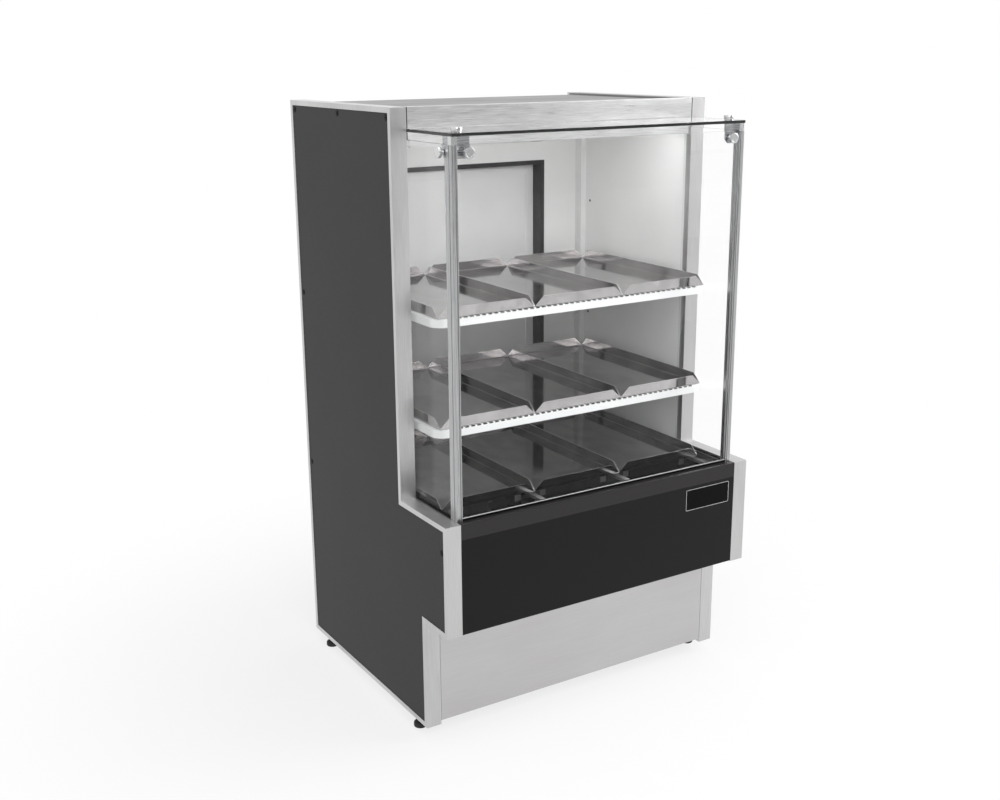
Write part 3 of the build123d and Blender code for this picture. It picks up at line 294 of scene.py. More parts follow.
def galvanisedSheet(name):
    # hot-dip galvanised sheet: flat zinc crystals about 9 mm across, each a slightly other grey
    material, tree, shader, place = startMaterial(name, {"Metallic": 1.0})
    spread = addNode(tree, "ShaderNodeMapping", values={"Scale": perMetre(9, 9, 9)},
                     links={"Vector": place})
    crystals = addNode(tree, "ShaderNodeTexVoronoi", values={"Scale": 1.0},
                       links={"Vector": spread.outputs["Vector"]})
    channels = addNode(tree, "ShaderNodeSeparateColor", links={"Color": crystals.outputs["Color"]})
    shade = channels.outputs["Red"]  # each crystal's own random number
    tint(tree, shader, shade, "#A3A5A6", "#B0B2B3", 0.0, 1.0)
    varyRoughness(tree, shader, shade, 0.36, 0.44)
    addBump(tree, shader, shade, 0.01, 0.3)
    return material


def millAluminium(name):
    # rolled fin stock: bright, thin and slightly uneven
    material, tree, shader, place = startMaterial(name, {"Metallic": 1.0})
    dents = grain(tree, place, (14, 14, 5), detail=3)
    tint(tree, shader, dents, "#A9ABAD", "#C6C8CA")
    varyRoughness(tree, shader, dents, 0.28, 0.42)
    addBump(tree, shader, dents, 0.08, 0.4)
    return material


def drawnCopper(name):
    # drawn copper tube: warm metal that browns a little in patches
    material, tree, shader, place = startMaterial(name, {"Metallic": 1.0})
    stain = grain(tree, place, (22, 22, 22), detail=4)
    tint(tree, shader, stain, "#8F5332", "#C98358")
    varyRoughness(tree, shader, stain, 0.2, 0.38)
    return material


def zincPlate(name):
    # blue passivated zinc on steel fasteners: bright, cool and faintly cloudy
    material, tree, shader, place = startMaterial(name, {"Metallic": 1.0})
    clouds = grain(tree, place, (4, 4, 4), detail=3)
    tint(tree, shader, clouds, "#A4A8AB", "#C2C5C8")
    varyRoughness(tree, shader, clouds, 0.2, 0.34)
    addBump(tree, shader, clouds, 0.01, 0.3)
    return material


def shearedEdge(name):
    # sheet edge as the shear left it: bright, with fine lines across the thickness
    material, tree, shader, place = startMaterial(name, {"Metallic": 1.0})
    lines = grain(tree, place, (0.4, 0.4, 3), detail=2)
    tint(tree, shader, lines, "#E2E2E2", "#F6F6F6")
    varyRoughness(tree, shader, lines, 0.38, 0.52)
    return material


def siliconeBead(name):
    # cured sealant run along a pane: pale, rubbery, with a smoothed and slightly wavy skin
    material, tree, shader, place = startMaterial(name, {"Metallic": 0.0, "IOR": 1.41})
    waves = grain(tree, place, (26, 26, 26), detail=2)
    tint(tree, shader, waves, "#A8A8A8", "#BCBCBC")
    varyRoughness(tree, shader, waves, 0.3, 0.42)
    addBump(tree, shader, waves, 0.1, 0.4)
    return material


def printedFilm(name, dark, light, ior=1.5):
    # screen printed polyester film: even colour under a satin varnish
    material, tree, shader, place = startMaterial(name, {"Metallic": 0.0, "IOR": ior})
    ink = grain(tree, place, (3, 3, 3), detail=2)
    tint(tree, shader, ink, dark, light)
    varyRoughness(tree, shader, ink, 0.24, 0.34)
    return material


finishes = {
    "satinStainless": brushedStainless("satinStainlessSheet", satinSteel),
    "fasciaStainless": brushedStainless("coarseBrushedStainless", fasciaSteel),
    "kickStainless": brushedStainless("satinStainlessAcross", kickSteel),
    "roofStainless": brushedStainless("brushedStainlessRoof", roofSteel),
    "wellStainless": brushedStainless("shadedStainlessWell", paintedShadeWellSteel),
    "deckStainless": brushedStainless("satinStainlessBarsPaintedLight", paintedLightDeckSteel),
    "trayStainless": polishedStainless("polishedStainlessTray"),
    "liner": whiteEnamel("whiteEnamelLiner", "#F1F1F0", "#E9E9E8"),
    "shelfWhite": whiteEnamel("whiteEnamelShelf", "#FCFCFC", "#F6F6F6"),
    "doorLaminate": whiteEnamel("whiteLaminateDoor", "#F0F0F0", "#E6E6E6"),
    "graphite": graphitePowderCoat("graphitePowderCoat"),
    "apronBlack": blackLacquer("blackStovedLacquer"),
    "doorFrameBlack": dyedAnodisedAndPaintedShade("blackAnodisedProfile", "#2F2D2D", "#262425"),
    "channelBlack": dyedAnodisedAndPaintedShade("blackAnodisedChannel", "#0C0B0C", "#050505", 1.2),
    "postAluminium": satinAluminium("satinAnodisedExtrusion", "#979899", "#C6C7C8"),
    "groovePaintedShade": dyedAnodisedAndPaintedShade("shadedExtrusionGroove", "#787878", "#6C6C6C", 1.3),
    "jointPaintedShade": dyedAnodisedAndPaintedShade("shadedSheetJoint", "#3A3A3A", "#2E2E2E", 1.3),
    "clampAluminium": satinAluminium("satinAnodisedPlate", "#A2A3A5", "#B8B9BB", (60, 60, 1.1)),
    # also the painted highlight on the clamps' folded corners
    "knobAluminium": turnedAluminium("turnedAluminiumKnobAndCornerHighlight"),
    "glass": coatedGlass("coatedLowIronGlass"),
    "glassEdge": groundGlassEdge("groundGlassEdge"),
    "screwBlack": blackOxide("blackOxideScrew"),
    "lamp": opalAcrylic("opalAcrylicDiffuser"),
    "rubber": mouldedPlastic("mouldedBlackRubber", "#121212", "#1E1E1E", 0.6, 0.75),
    # also the painted shade on the walls of the shelf slots
    "blackPlastic": mouldedPlastic("mouldedBlackPlasticAndSlotShade", "#161617", "#202021"),
    "compressor": mouldedPlastic("blackEnamelShell", "#0F0F10", "#1A1A1B", 0.22, 0.34, 4.0),
    "zinc": galvanisedSheet("galvanisedSheet"),
    "fins": millAluminium("rolledFinStock"),
    "copper": drawnCopper("drawnCopperTube"),
    "fastenerZinc": zincPlate("bluePassivatedZinc"),
    "cutEdge": shearedEdge("shearedStainlessEdge"),
    "sealant": siliconeBead("curedSiliconeSealant"),
    "plateFilm": printedFilm("printedFilmBlack", "#080808", "#0C0C0C", 1.15),
    "plateLine": printedFilm("printedFilmGrey", "#B4B5B5", "#C2C3C3"),
    "displayWindow": printedFilm("smokedDisplayWindow", "#120808", "#190B0B"),
    "keyPad": printedFilm("printedFilmKeys", "#6E7072", "#7A7C7E"),
}

nodeFinish = {
    "roof_panel": "roofStainless", "ceiling": "liner", "top_fascia": "fasciaStainless", "led_lamp": "lamp",
    "back_wall": "liner", "rear_door_frame": "doorFrameBlack", "rear_door_left": "doorLaminate",
    "rear_door_right": "doorLaminate", "side_panel_screws": "screwBlack", "shelf_brackets": "shelfWhite",
    "base_deck": "deckStainless", "well_tub": "wellStainless", "front_apron": "apronBlack",
    "glazing_channel": "channelBlack", "front_glass": "glass", "top_glass": "glass",
    "clamp_knobs": "knobAluminium", "kick_panel": "kickStainless", "base_floor": "zinc",
    "compressor": "compressor", "condenser_coil": "fins", "condenser_fan": "blackPlastic",
    "condenser_fan_mount": "zinc", "evaporator_coil": "fins", "evaporator_fan": "blackPlastic",
    "evaporator_fan_mount": "zinc", "refrigerant_pipes": "copper", "condensate_pan": "blackPlastic",
    "rear_service_panel": "zinc", "thermostat": "blackPlastic", "power_switch_housing": "blackPlastic",
    "power_switch_rocker": "blackPlastic", "cable_gland": "blackPlastic", "shelf_upper": "shelfWhite",
    "shelf_lower": "shelfWhite",
}
for side in ("left", "right"):
    nodeFinish["side_frame_" + side] = "satinStainless"
    nodeFinish["side_panel_" + side] = "graphite"
    nodeFinish["side_wall_" + side] = "liner"
    nodeFinish["side_glass_" + side] = "glass"
    nodeFinish["corner_post_" + side] = "postAluminium"
    nodeFinish["corner_clamp_" + side] = "clampAluminium"
for name in cadNodes:
    if name.startswith("tray_"):
        nodeFinish[name] = "trayStainless"
    if name.startswith("foot_"):
        nodeFinish[name] = "rubber"
for name, node in cadNodes.items():
    node.data.materials.clear()
    node.data.materials.append(finishes[nodeFinish[name]])
print("materials on", len(cadNodes), "nodes")


# pieces

sharpTurn = 34  # degrees past which two faces meet in a hard edge


def newPiece(name, shape, body, finish, *replaced):
    mesh = bpy.data.meshes.new(name)
    shape.to_mesh(mesh)
    shape.free()
    piece = bpy.data.objects.new(name, mesh)
    bpy.context.scene.collection.objects.link(piece)
    finishList = finish if isinstance(finish, (list, tuple)) else [finish]
    for item in finishList:
        mesh.materials.append(finishes[item])
    mesh.polygons.foreach_set("use_smooth", [True] * len(mesh.polygons))
    mesh.set_sharp_from_angle(angle=math.radians(sharpTurn))
    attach(piece, body)
    if replaced:
        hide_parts(*replaced)
    return piece


def evenShading(piece):
    weighted = piece.modifiers.new("evenShading", "WEIGHTED_NORMAL")
    weighted.keep_sharp = True
    weighted.weight = 80


def copyOfNode(nodeName, ease, segments=2, turn=30, kept=None):
    # the CAD piece again, with its corners broken as a folded or ground edge is
    shape = bmesh.new()
    shape.from_mesh(cadNodes[nodeName].data)
    if kept:
        bmesh.ops.delete(shape, geom=[f for f in shape.faces if not kept(f)], context="FACES")
    bmesh.ops.remove_doubles(shape, verts=shape.verts, dist=2e-6)
    bmesh.ops.dissolve_limit(shape, angle_limit=math.radians(0.8), verts=shape.verts, edges=shape.edges)
    joined = [e for e in shape.edges if len(e.link_faces) == 2]
    corners = [e for e in joined if e.calc_face_angle(0) > math.radians(turn)]
    bmesh.ops.bevel(shape, geom=corners, offset=ease * mm, offset_type="OFFSET", affect="EDGES",
                    segments=segments, profile=0.5, material=-1, clamp_overlap=True)
    return shape


def addTo(whole, part, place, finishIndex=None):
    # puts a placed copy of one shape into another
    placed = part.copy()
    if finishIndex is not None:
        for face in placed.faces:
            face.material_index = finishIndex
    bmesh.ops.transform(placed, matrix=place, verts=placed.verts)
    carrier = bpy.data.meshes.new("carrier")
    placed.to_mesh(carrier)
    whole.from_mesh(carrier)
    bpy.data.meshes.remove(carrier)
    placed.free()


easedEdges = {  # width in mm of each piece's broken edges
    "side_frame_left": 0.7, "side_frame_right": 0.7, "front_apron": 0.7, "kick_panel": 0.6,
    "top_fascia": 0.5, "shelf_upper": 0.5, "shelf_lower": 0.5, "corner_post_left": 0.4,
    "corner_post_right": 0.4,
    "corner_clamp_left": 0.6, "corner_clamp_right": 0.6, "glazing_channel": 0.25, "rear_door_frame": 0.5,
    "rear_door_left": 0.8, "rear_door_right": 0.8, "base_deck": 0.5, "roof_panel": 0.3,
    "side_panel_left": 0.3, "side_panel_right": 0.3, "thermostat": 0.5, "power_switch_housing": 0.3,
    "power_switch_rocker": 0.3, "rear_service_panel": 0.25, "led_lamp": 0.5, "shelf_brackets": 0.3,
    "well_tub": 0.4,
}
doorFrame = {"joint": 240.0}  # distance of the butt joints from the middle


def isJamb(face):
    # a jamb's face on the plane of a joint looks towards the middle, a rail's looks away from it
    x = face.calc_center_median().x
    if abs(abs(x) - doorFrame["joint"] * mm) < 1e-5:
        return face.normal.x * x < 0
    return abs(x) > doorFrame["joint"] * mm


bodyOf = {name: node["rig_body"] for name, node in cadNodes.items()}
for nodeName, ease in easedEdges.items():
    if nodeName == "rear_door_frame":
        # jambs and rails are eased apart, so that their joints stay shut lines
        shape = copyOfNode(nodeName, ease, kept=isJamb)
        rails = copyOfNode(nodeName, ease, kept=lambda face: not isJamb(face))
        addTo(shape, rails, Matrix())
        rails.free()
    else:
        shape = copyOfNode(nodeName, ease)
    piece = newPiece("eased_" + nodeName, shape, bodyOf[nodeName], nodeFinish[nodeName], nodeName)
    evenShading(piece)
print("edges eased on", len(easedEdges), "pieces")


def openPiece(name):
    piece = bpy.data.objects[name]
    shape = bmesh.new()
    shape.from_mesh(piece.data)
    return piece, shape


def closePiece(piece, shape, finish):
    # writes the shape back; its faces of index 1 take the finish that is added
    shape.to_mesh(piece.data)
    shape.free()
    piece.data.materials.append(finishes[finish])


def cutAcross(shape, place, along):
    bmesh.ops.bisect_plane(shape, geom=shape.verts[:] + shape.edges[:] + shape.faces[:], plane_co=place,
                           plane_no=along, dist=1e-7)


def within(value, span):
    return span[0] < value < span[1]


clampCornerHighlight = {"x": 349.5, "y": -312.5}  # the folded corner between the two plates, painted brighter than them: a painted highlight
for sideName, side in (("left", -1), ("right", 1)):
    piece, shape = openPiece("eased_corner_clamp_" + sideName)
    cutAcross(shape, (side * clampCornerHighlight["x"] * mm, 0, 0), (1, 0, 0))
    cutAcross(shape, (0, clampCornerHighlight["y"] * mm, 0), (0, 1, 0))
    for face in shape.faces:
        x, y, z = face.calc_center_median() / mm
        if side * x > clampCornerHighlight["x"] and y < clampCornerHighlight["y"]:
            # the corner's faces take the brighter knob finish: a painted highlight
            face.material_index = 1
    closePiece(piece, shape, "knobAluminium")

postGroove = {  # where each groove's faces lie in plan, in mm; the front and side grooves are painted darker as shade
    "front": ((352.3, 354.7), (-325.3, -324.5)),
    "side": ((363.1, 363.9), (-318.7, -316.3)),
    "slot": ((350.2, 354.7), (-323.1, -316.3)),
}
for sideName in ("left", "right"):
    post = bpy.data.objects["eased_corner_post_" + sideName]
    post.data.materials.append(finishes["groovePaintedShade"])
    post.data.materials.append(finishes["sealant"])
    for face in post.data.polygons:
        x, y, z = (c / mm for c in face.center)
        lies = [name for name, (xs, ys) in postGroove.items() if within(abs(x), xs) and within(y, ys)]
        if "front" in lies or "side" in lies:
            # painted shade in the front and side grooves
            face.material_index = 1
        elif "slot" in lies:
            face.material_index = 2  # grey seal strip behind the front pane

endCapsAndShadowLines = {  # length in mm of the ends with another finish: the lamp's own caps, and the fascia's painted shadow line
    "led_lamp": (14.0, "liner"),  # white moulded caps
    "top_fascia": (1.5, "jointPaintedShade"),  # it stands back a hair from the frames; the shade of that gap is painted on its ends as a dark line
}
for nodeName, (length, finish) in endCapsAndShadowLines.items():
    piece, shape = openPiece("eased_" + nodeName)
    ends = max(v.co.x for v in shape.verts) - length * mm
    for side in (-1, 1):
        cutAcross(shape, (side * ends, 0, 0), (1, 0, 0))
    for face in shape.faces:
        if abs(face.calc_center_median().x) > ends:
            face.material_index = 1
    closePiece(piece, shape, finish)

wellRim = {"low": 519.0}  # the tub's folded top rim takes the lighter deck finish as painted light, its walls the darker well finish as painted shade
tub = bpy.data.objects["eased_well_tub"]
tub.data.materials.append(finishes["deckStainless"])
for face in tub.data.polygons:
    if face.normal.z > 0.5 and face.center.z > wellRim["low"] * mm:
        face.material_index = 1
print("clamp corners, grooves, lamp caps, fascia joints and well rim finished")

shelfSlots = {
    "tops": {"upper": 923.0, "lower": 691.0}, "frontY": -235.0, "length": 9.0, "pitch": 14.6, "count": 44,
    "across": 3.6, "deep": 2.0, "proud": 1.0, "skin": 0.3, "slack": 0.1,
}


def slotCutter(top):
    # a row of blocks that stand proud of the shelf's top and front
    s = shelfSlots
    row = bmesh.new()
    size = (s["length"], s["across"] + s["proud"], s["deep"] + s["proud"])
    for i in range(s["count"]):
        centre = ((i - (s["count"] - 1) / 2) * s["pitch"], s["frontY"] + s["across"] - size[1] / 2,
                  top - s["deep"] + size[2] / 2)
        place = Matrix.Translation([c * mm for c in centre]) @ Matrix.Diagonal([c * mm for c in size] + [1])
        bmesh.ops.create_cube(row, size=1.0, matrix=place)
    mesh = bpy.data.meshes.new("slotCutter")
    row.to_mesh(mesh)
    row.free()
    cutter = bpy.data.objects.new("slotCutter", mesh)
    bpy.context.scene.collection.objects.link(cutter)
    return cutter


for level, top in shelfSlots["tops"].items():
    cutter = slotCutter(top)
    piece = bpy.data.objects["eased_shelf_" + level]
    slots = piece.modifiers.new("slots", "BOOLEAN")
    slots.operation = "DIFFERENCE"
    slots.solver = "EXACT"
    slots.object = cutter
    piece.modifiers.move(1, 0)
    evenFaces = piece.modifiers["evenShading"]
    evenFaces.show_viewport = False  # only the slots go into the mesh
    slotted = bpy.data.meshes.new_from_object(piece.evaluated_get(bpy.context.evaluated_depsgraph_get()))
    evenFaces.show_viewport = True
    piece.modifiers.remove(slots)
    piece.data = slotted
    # the slots' walls take the black plastic finish as painted shade
    slotted.materials.append(finishes["blackPlastic"])
    halfRow = shelfSlots["pitch"] * shelfSlots["count"] / 2
    depths = (shelfSlots["frontY"] + shelfSlots["skin"],
              shelfSlots["frontY"] + shelfSlots["across"] + shelfSlots["slack"])
    heights = (top - shelfSlots["deep"] - shelfSlots["slack"], top - shelfSlots["skin"])
    for face in slotted.polygons:
        x, y, z = (c / mm for c in face.center)
        if abs(x) < halfRow and within(y, depths) and within(z, heights):
            face.material_index = 1  # dark walls: painted shade inside the slots
    cutterMesh = cutter.data
    bpy.data.objects.remove(cutter)
    bpy.data.meshes.remove(cutterMesh)
print("shelf slots cut")

paneShape = {"arris": 0.8, "arrisSegments": 2}
paneNormal = {"front_glass": 1, "top_glass": 2, "side_glass_left": 0, "side_glass_right": 0}
inPost = {"front_glass": 0, "side_glass_left": 1, "side_glass_right": 1}  # axis whose ends sit in a post
for nodeName, across in paneNormal.items():
    shape = copyOfNode(nodeName, paneShape["arris"], paneShape["arrisSegments"])
    for face in shape.faces:
        clear = abs(face.normal[across]) > 0.3  # the arris stays bright
        if nodeName in inPost and abs(face.normal[inPost[nodeName]]) > 0.3:
            clear = True
        face.material_index = 0 if clear else 1
    pane = newPiece("pane_" + nodeName, shape, "cabinet", ["glass", "glassEdge"], nodeName)
    flat = [False] * len(pane.data.polygons)  # flat faces refract true
    pane.data.polygons.foreach_set("use_smooth", flat)
print("panes ground")


trayShape = {
    "width": 229.4, "depth": 473.0, "height": 22.5, "sheet": 1.0, "bendRadius": 2.2, "bendSegments": 3,
    "pitch": 230.0, "frontY": -232.0, "levels": {"upper": 923.1, "lower": 691.1, "base": 514.6},
    "cutEase": 0.2, "cutTurn": 50,
}


def foldedTray(centreX, baseZ):
    t = trayShape
    shape = bmesh.new()
    bmesh.ops.create_grid(shape, x_segments=1, y_segments=1, size=0.5)
    bmesh.ops.scale(shape, vec=(t["width"] * mm, t["depth"] * mm, 1), verts=shape.verts)
    rims = shape.edges[:]
    for rim in rims:  # each side is folded up alone, and its ends are cut back at 45 degrees
        made = bmesh.ops.extrude_edge_only(shape, edges=[rim])["geom"]
        tops = [g for g in made if isinstance(g, bmesh.types.BMVert)]
        middle = sum((v.co for v in tops), Vector()) / 2
        for v in tops:
            inwards = (middle - v.co).normalized() * t["height"] * mm
            v.co += inwards + Vector((0, 0, t["height"] * mm))
    bends = [e for e in shape.edges if len(e.link_faces) == 2]
    bmesh.ops.bevel(shape, geom=bends, offset=t["bendRadius"] * mm, offset_type="OFFSET", affect="EDGES",
                    segments=t["bendSegments"], profile=0.5, material=-1)
    bmesh.ops.recalc_face_normals(shape, faces=shape.faces)
    if sum(f.normal.z * f.calc_area() for f in shape.faces) < 0:
        bmesh.ops.reverse_faces(shape, faces=shape.faces)
    middleY = t["frontY"] + t["depth"] / 2
    bmesh.ops.translate(shape, vec=(centreX * mm, middleY * mm, baseZ * mm), verts=shape.verts)
    return shape


for level, baseZ in trayShape["levels"].items():
    for column, step in (("left", -1), ("middle", 0), ("right", 1)):
        nodeName = "tray_" + level + "_" + column
        tray = newPiece("folded_" + nodeName, foldedTray(step * trayShape["pitch"], baseZ), nodeName,
                        ["trayStainless", "cutEdge"], nodeName)
        sheet = tray.modifiers.new("sheet", "SOLIDIFY")
        sheet.thickness = trayShape["sheet"] * mm
        sheet.offset = 1.0
        sheet.material_offset_rim = 1
        edge = tray.modifiers.new("cutEdge", "BEVEL")
        edge.width = trayShape["cutEase"] * mm
        edge.segments = 1
        edge.limit_method = "ANGLE"
        edge.angle_limit = math.radians(trayShape["cutTurn"])
        evenShading(tray)
print("trays folded")


# turned and small pieces

def spunShape(profile, steps):
    # (radius, height) points in mm, from the axis round to the axis or closed on themselves, turned about Z
    shape = bmesh.new()
    points = [shape.verts.new((r * mm, 0, z * mm)) for r, z in profile]
    outline = [shape.edges.new(pair) for pair in zip(points, points[1:])]
    bmesh.ops.spin(shape, geom=points + outline, cent=(0, 0, 0), axis=(0, 0, 1), angle=math.tau,
                   steps=steps, use_merge=True)
    bmesh.ops.remove_doubles(shape, verts=shape.verts, dist=1e-6)
    bmesh.ops.recalc_face_normals(shape, faces=shape.faces)
    return shape


def hexagonSocket(shape, radius, across):
    # moves the ring of points at one radius onto a hexagon
    for v in shape.verts:
        reach = math.hypot(v.co.x, v.co.y)
        if abs(reach - radius * mm) < 1e-6:
            angle = math.atan2(v.co.y, v.co.x) % math.radians(60) - math.radians(30)
            grow = across / 2 / math.cos(angle) / radius
            v.co.x *= grow
            v.co.y *= grow


def plateShape(width, height, thick, corner, ease=0.15):
    # flat plate in X-Y with rounded corners and broken edges, its back on Z = 0
    shape = bmesh.new()
    bmesh.ops.create_grid(shape, x_segments=1, y_segments=1, size=0.5 * mm)
    bmesh.ops.scale(shape, vec=(width, height, 1), verts=shape.verts)
    bmesh.ops.bevel(shape, geom=shape.verts[:], offset=corner * mm, offset_type="OFFSET", affect="VERTICES",
                    segments=5, profile=0.5, material=-1)
    risen = bmesh.ops.extrude_face_region(shape, geom=shape.faces[:])["geom"]
    raised = [g for g in risen if isinstance(g, bmesh.types.BMVert)]
    bmesh.ops.translate(shape, vec=(0, 0, thick * mm), verts=raised)
    bmesh.ops.recalc_face_normals(shape, faces=shape.faces)
    rim = [e for e in shape.edges if all(abs(v.co.z - thick * mm) < 1e-7 for v in e.verts)]
    bmesh.ops.bevel(shape, geom=rim, offset=ease * mm, offset_type="OFFSET", affect="EDGES", segments=2,
                    profile=0.5, material=-1)
    return shape


def facing(direction, x, y, z):
    # place in mm whose own Z axis looks along a world direction
    turn = Vector((0, 0, 1)).rotation_difference(Vector(direction))
    return Matrix.Translation((x * mm, y * mm, z * mm)) @ turn.to_matrix().to_4x4()


# from the CAD frame: axes of the holes in the panes and the outer faces of the glass
knobs = {
    "steps": 48, "frontX": 328.0, "frontY": -322.75, "sideX": 362.0, "sideY": -289.5, "height": 1257.5,
    "profile": [(0, -12.2), (3.4, -12.2), (3.9, -11.7), (3.9, 0.05), (7.3, 0.05), (7.5, 0.25), (7.5, 0.85),
                (7.3, 1.05), (5.2, 1.05), (5.2, 4.7), (5.7, 5.3), (6.4, 5.5), (10.2, 5.5), (10.8, 5.75),
                (11.0, 6.4), (11.0, 11.6), (10.8, 12.25), (10.2, 12.5), (8.4, 12.5), (8.1, 12.4),
                (7.9, 12.15), (0, 12.15)],
}
studs = {
    "steps": 48, "x": 338.0, "y": -303.0, "z": 1294.0,
    "profile": [(0, -11.9), (3.4, -11.9), (3.9, -11.4), (3.9, 0.05), (10.1, 0.05), (10.3, 0.25),
                (10.3, 1.1), (10.1, 1.3), (9.4, 1.3), (9.4, 2.0), (10.5, 2.1), (10.9, 2.4), (11.0, 2.9),
                (11.0, 9.0), (10.8, 9.7), (10.2, 10.0), (0, 10.0)],
}
knobSet = bmesh.new()
knob = spunShape(knobs["profile"], knobs["steps"])
stud = spunShape(studs["profile"], studs["steps"])
for side in (-1, 1):
    addTo(knobSet, knob, facing((0, -1, 0), side * knobs["frontX"], knobs["frontY"], knobs["height"]))
    addTo(knobSet, knob, facing((side, 0, 0), side * knobs["sideX"], knobs["sideY"], knobs["height"]))
    addTo(knobSet, stud, facing((0, 0, 1), side * studs["x"], studs["y"], studs["z"]))
knob.free()
stud.free()
newPiece("turned_clamp_knobs", knobSet, "cabinet", "knobAluminium", "clamp_knobs")
print("knobs turned")

panelScrews = {
    "steps": 24, "faceX": 398.6, "socketRadius": 1.5, "socketAcross": 2.6,
    "places": [(322, 1316), (95.5, 1316), (-131, 1316), (322, 898), (322, 480), (-322, 464)],
    "profile": [(0, -2.7), (1.9, -2.7), (2.4, -2.2), (2.4, 0.02), (4.5, 0.02), (4.6, 0.12), (4.5, 0.45),
                (4.0, 0.9), (3.1, 1.25), (2.2, 1.38), (1.5, 1.38), (1.5, 0.4), (0, 0.4)],
    "washer": [(4.7, 0.02), (6.7, 0.02), (6.9, 0.15), (6.8, 0.4), (5.7, 0.85), (4.9, 0.95), (4.7, 0.8),
               (4.7, 0.02)],
}
screwSet = bmesh.new()
washerSet = bmesh.new()
screw = spunShape(panelScrews["profile"], panelScrews["steps"])
hexagonSocket(screw, panelScrews["socketRadius"], panelScrews["socketAcross"])
washer = spunShape(panelScrews["washer"], panelScrews["steps"])
for side in (-1, 1):
    for y, z in panelScrews["places"]:
        place = facing((side, 0, 0), side * panelScrews["faceX"], y, z)
        addTo(screwSet, screw, place)
        addTo(washerSet, washer, place)
screw.free()
washer.free()
newPiece("socket_side_panel_screws", screwSet, "cabinet", "screwBlack", "side_panel_screws")
newPiece("cup_washers_side_panel_screws", washerSet, "cabinet", "channelBlack")

feet = {
    "x": 381.0, "ys": {"front": -178.0, "rear": 287.0}, "nutRadius": 8.0, "nutHeight": 6.0,
    "nutEase": 0.5, "stem": 5.0, "root": 4.4, "pitch": 1.5, "threads": 32, "stemSteps": 24, "padSteps": 40,
    "pad": [(0, 0), (13.2, 0), (13.9, 0.2), (14.7, 1.0), (15.0, 2.0), (15.0, 8.2), (14.7, 9.5),
            (13.8, 10.7), (12.2, 11.6), (9.4, 12.0), (0, 12.0)],
}
threadStart = feet["pad"][-1][1]
thread = [(0, threadStart - 1)]
for i in range(2 * feet["threads"]):
    thread.append((feet["stem"] if i % 2 else feet["root"], threadStart + feet["pitch"] * i / 2))
thread.append((0, thread[-1][1]))
footSet = bmesh.new()
pad = spunShape(feet["pad"], feet["padSteps"])
addTo(footSet, pad, Matrix(), 0)
pad.free()
stem = spunShape(thread, feet["stemSteps"])
addTo(footSet, stem, Matrix(), 1)
stem.free()
nut = bmesh.new()
bmesh.ops.create_cone(nut, cap_ends=True, segments=6, radius1=feet["nutRadius"] * mm,
                      radius2=feet["nutRadius"] * mm, depth=feet["nutHeight"] * mm)
bmesh.ops.bevel(nut, geom=nut.edges[:], offset=feet["nutEase"] * mm, offset_type="OFFSET", affect="EDGES",
                segments=2, profile=0.5, material=-1)
addTo(footSet, nut, Matrix.Translation((0, 0, (threadStart + feet["nutHeight"] / 2) * mm)), 1)
nut.free()
for row, y in feet["ys"].items():
    for sideName, side in (("left", -1), ("right", 1)):
        foot = bmesh.new()
        addTo(foot, footSet, Matrix.Translation((side * feet["x"] * mm, y * mm, 0)))
        nodeName = "foot_" + row + "_" + sideName
        newPiece("screwed_" + nodeName, foot, nodeName, ["rubber", "fastenerZinc"], nodeName)
footSet.free()
print("screws and feet made")

plugs = {
    "steps": 20, "x": 364.0, "places": [(238, 1069), (241, 780)],
    "profile": [(0, -1), (2.2, -1), (2.2, 0), (3.1, 0.05), (3.1, 0.5), (2.6, 1.0), (1.4, 1.25), (0, 1.3)],
}
plugSet = bmesh.new()
plug = spunShape(plugs["profile"], plugs["steps"])
for side in (-1, 1):
    for y, z in plugs["places"]:
        addTo(plugSet, plug, facing((-side, 0, 0), side * plugs["x"], y, z))
plug.free()
newPiece("liner_hole_plugs", plugSet, "cabinet", "blackPlastic")

barePlate = {
    "x": 286.0, "y": -341.4, "z": 457.9, "size": (128.0, 51.8), "thick": 0.35, "corner": 4.0, "margin": 0.9,
    "line": 1.1,
}
plate = plateShape(*barePlate["size"], barePlate["thick"], barePlate["corner"])
plate.normal_update()
front = [f for f in plate.faces if f.normal.z > 0.99]
bmesh.ops.inset_region(plate, faces=front, thickness=barePlate["margin"] * mm)
outlineFaces = bmesh.ops.inset_region(plate, faces=front, thickness=barePlate["line"] * mm)["faces"]
for face in outlineFaces:
    face.material_index = 1
plateSet = bmesh.new()
addTo(plateSet, plate, facing((0, -1, 0), barePlate["x"], barePlate["y"], barePlate["z"]))
plate.free()
newPiece("bare_plate", plateSet, "cabinet", ["plateFilm", "plateLine"])

sealantRuns = {  # section in Y-Z and half length of each run, in mm
    "front_pane_bead": (349.5, [(-324.35, 528.9), (-324.35, 529.5), (-322.8, 530.4), (-322.8, 528.9)]),
    "top_pane_bead": (362.5, [(-152.3, 1293.9), (-151.5, 1295.2), (-150.6, 1295.2), (-150.6, 1293.9)]),
}
for name, (halfLength, corners) in sealantRuns.items():
    run = bmesh.new()
    section = [run.verts.new((-halfLength * mm, y * mm, z * mm)) for y, z in corners]
    pulled = bmesh.ops.extrude_face_region(run, geom=[run.faces.new(section)])["geom"]
    bmesh.ops.translate(run, vec=(2 * halfLength * mm, 0, 0),
                        verts=[g for g in pulled if isinstance(g, bmesh.types.BMVert)])
    bmesh.ops.recalc_face_normals(run, faces=run.faces)
    newPiece(name, run, "cabinet", "sealant")
print("small front pieces made")

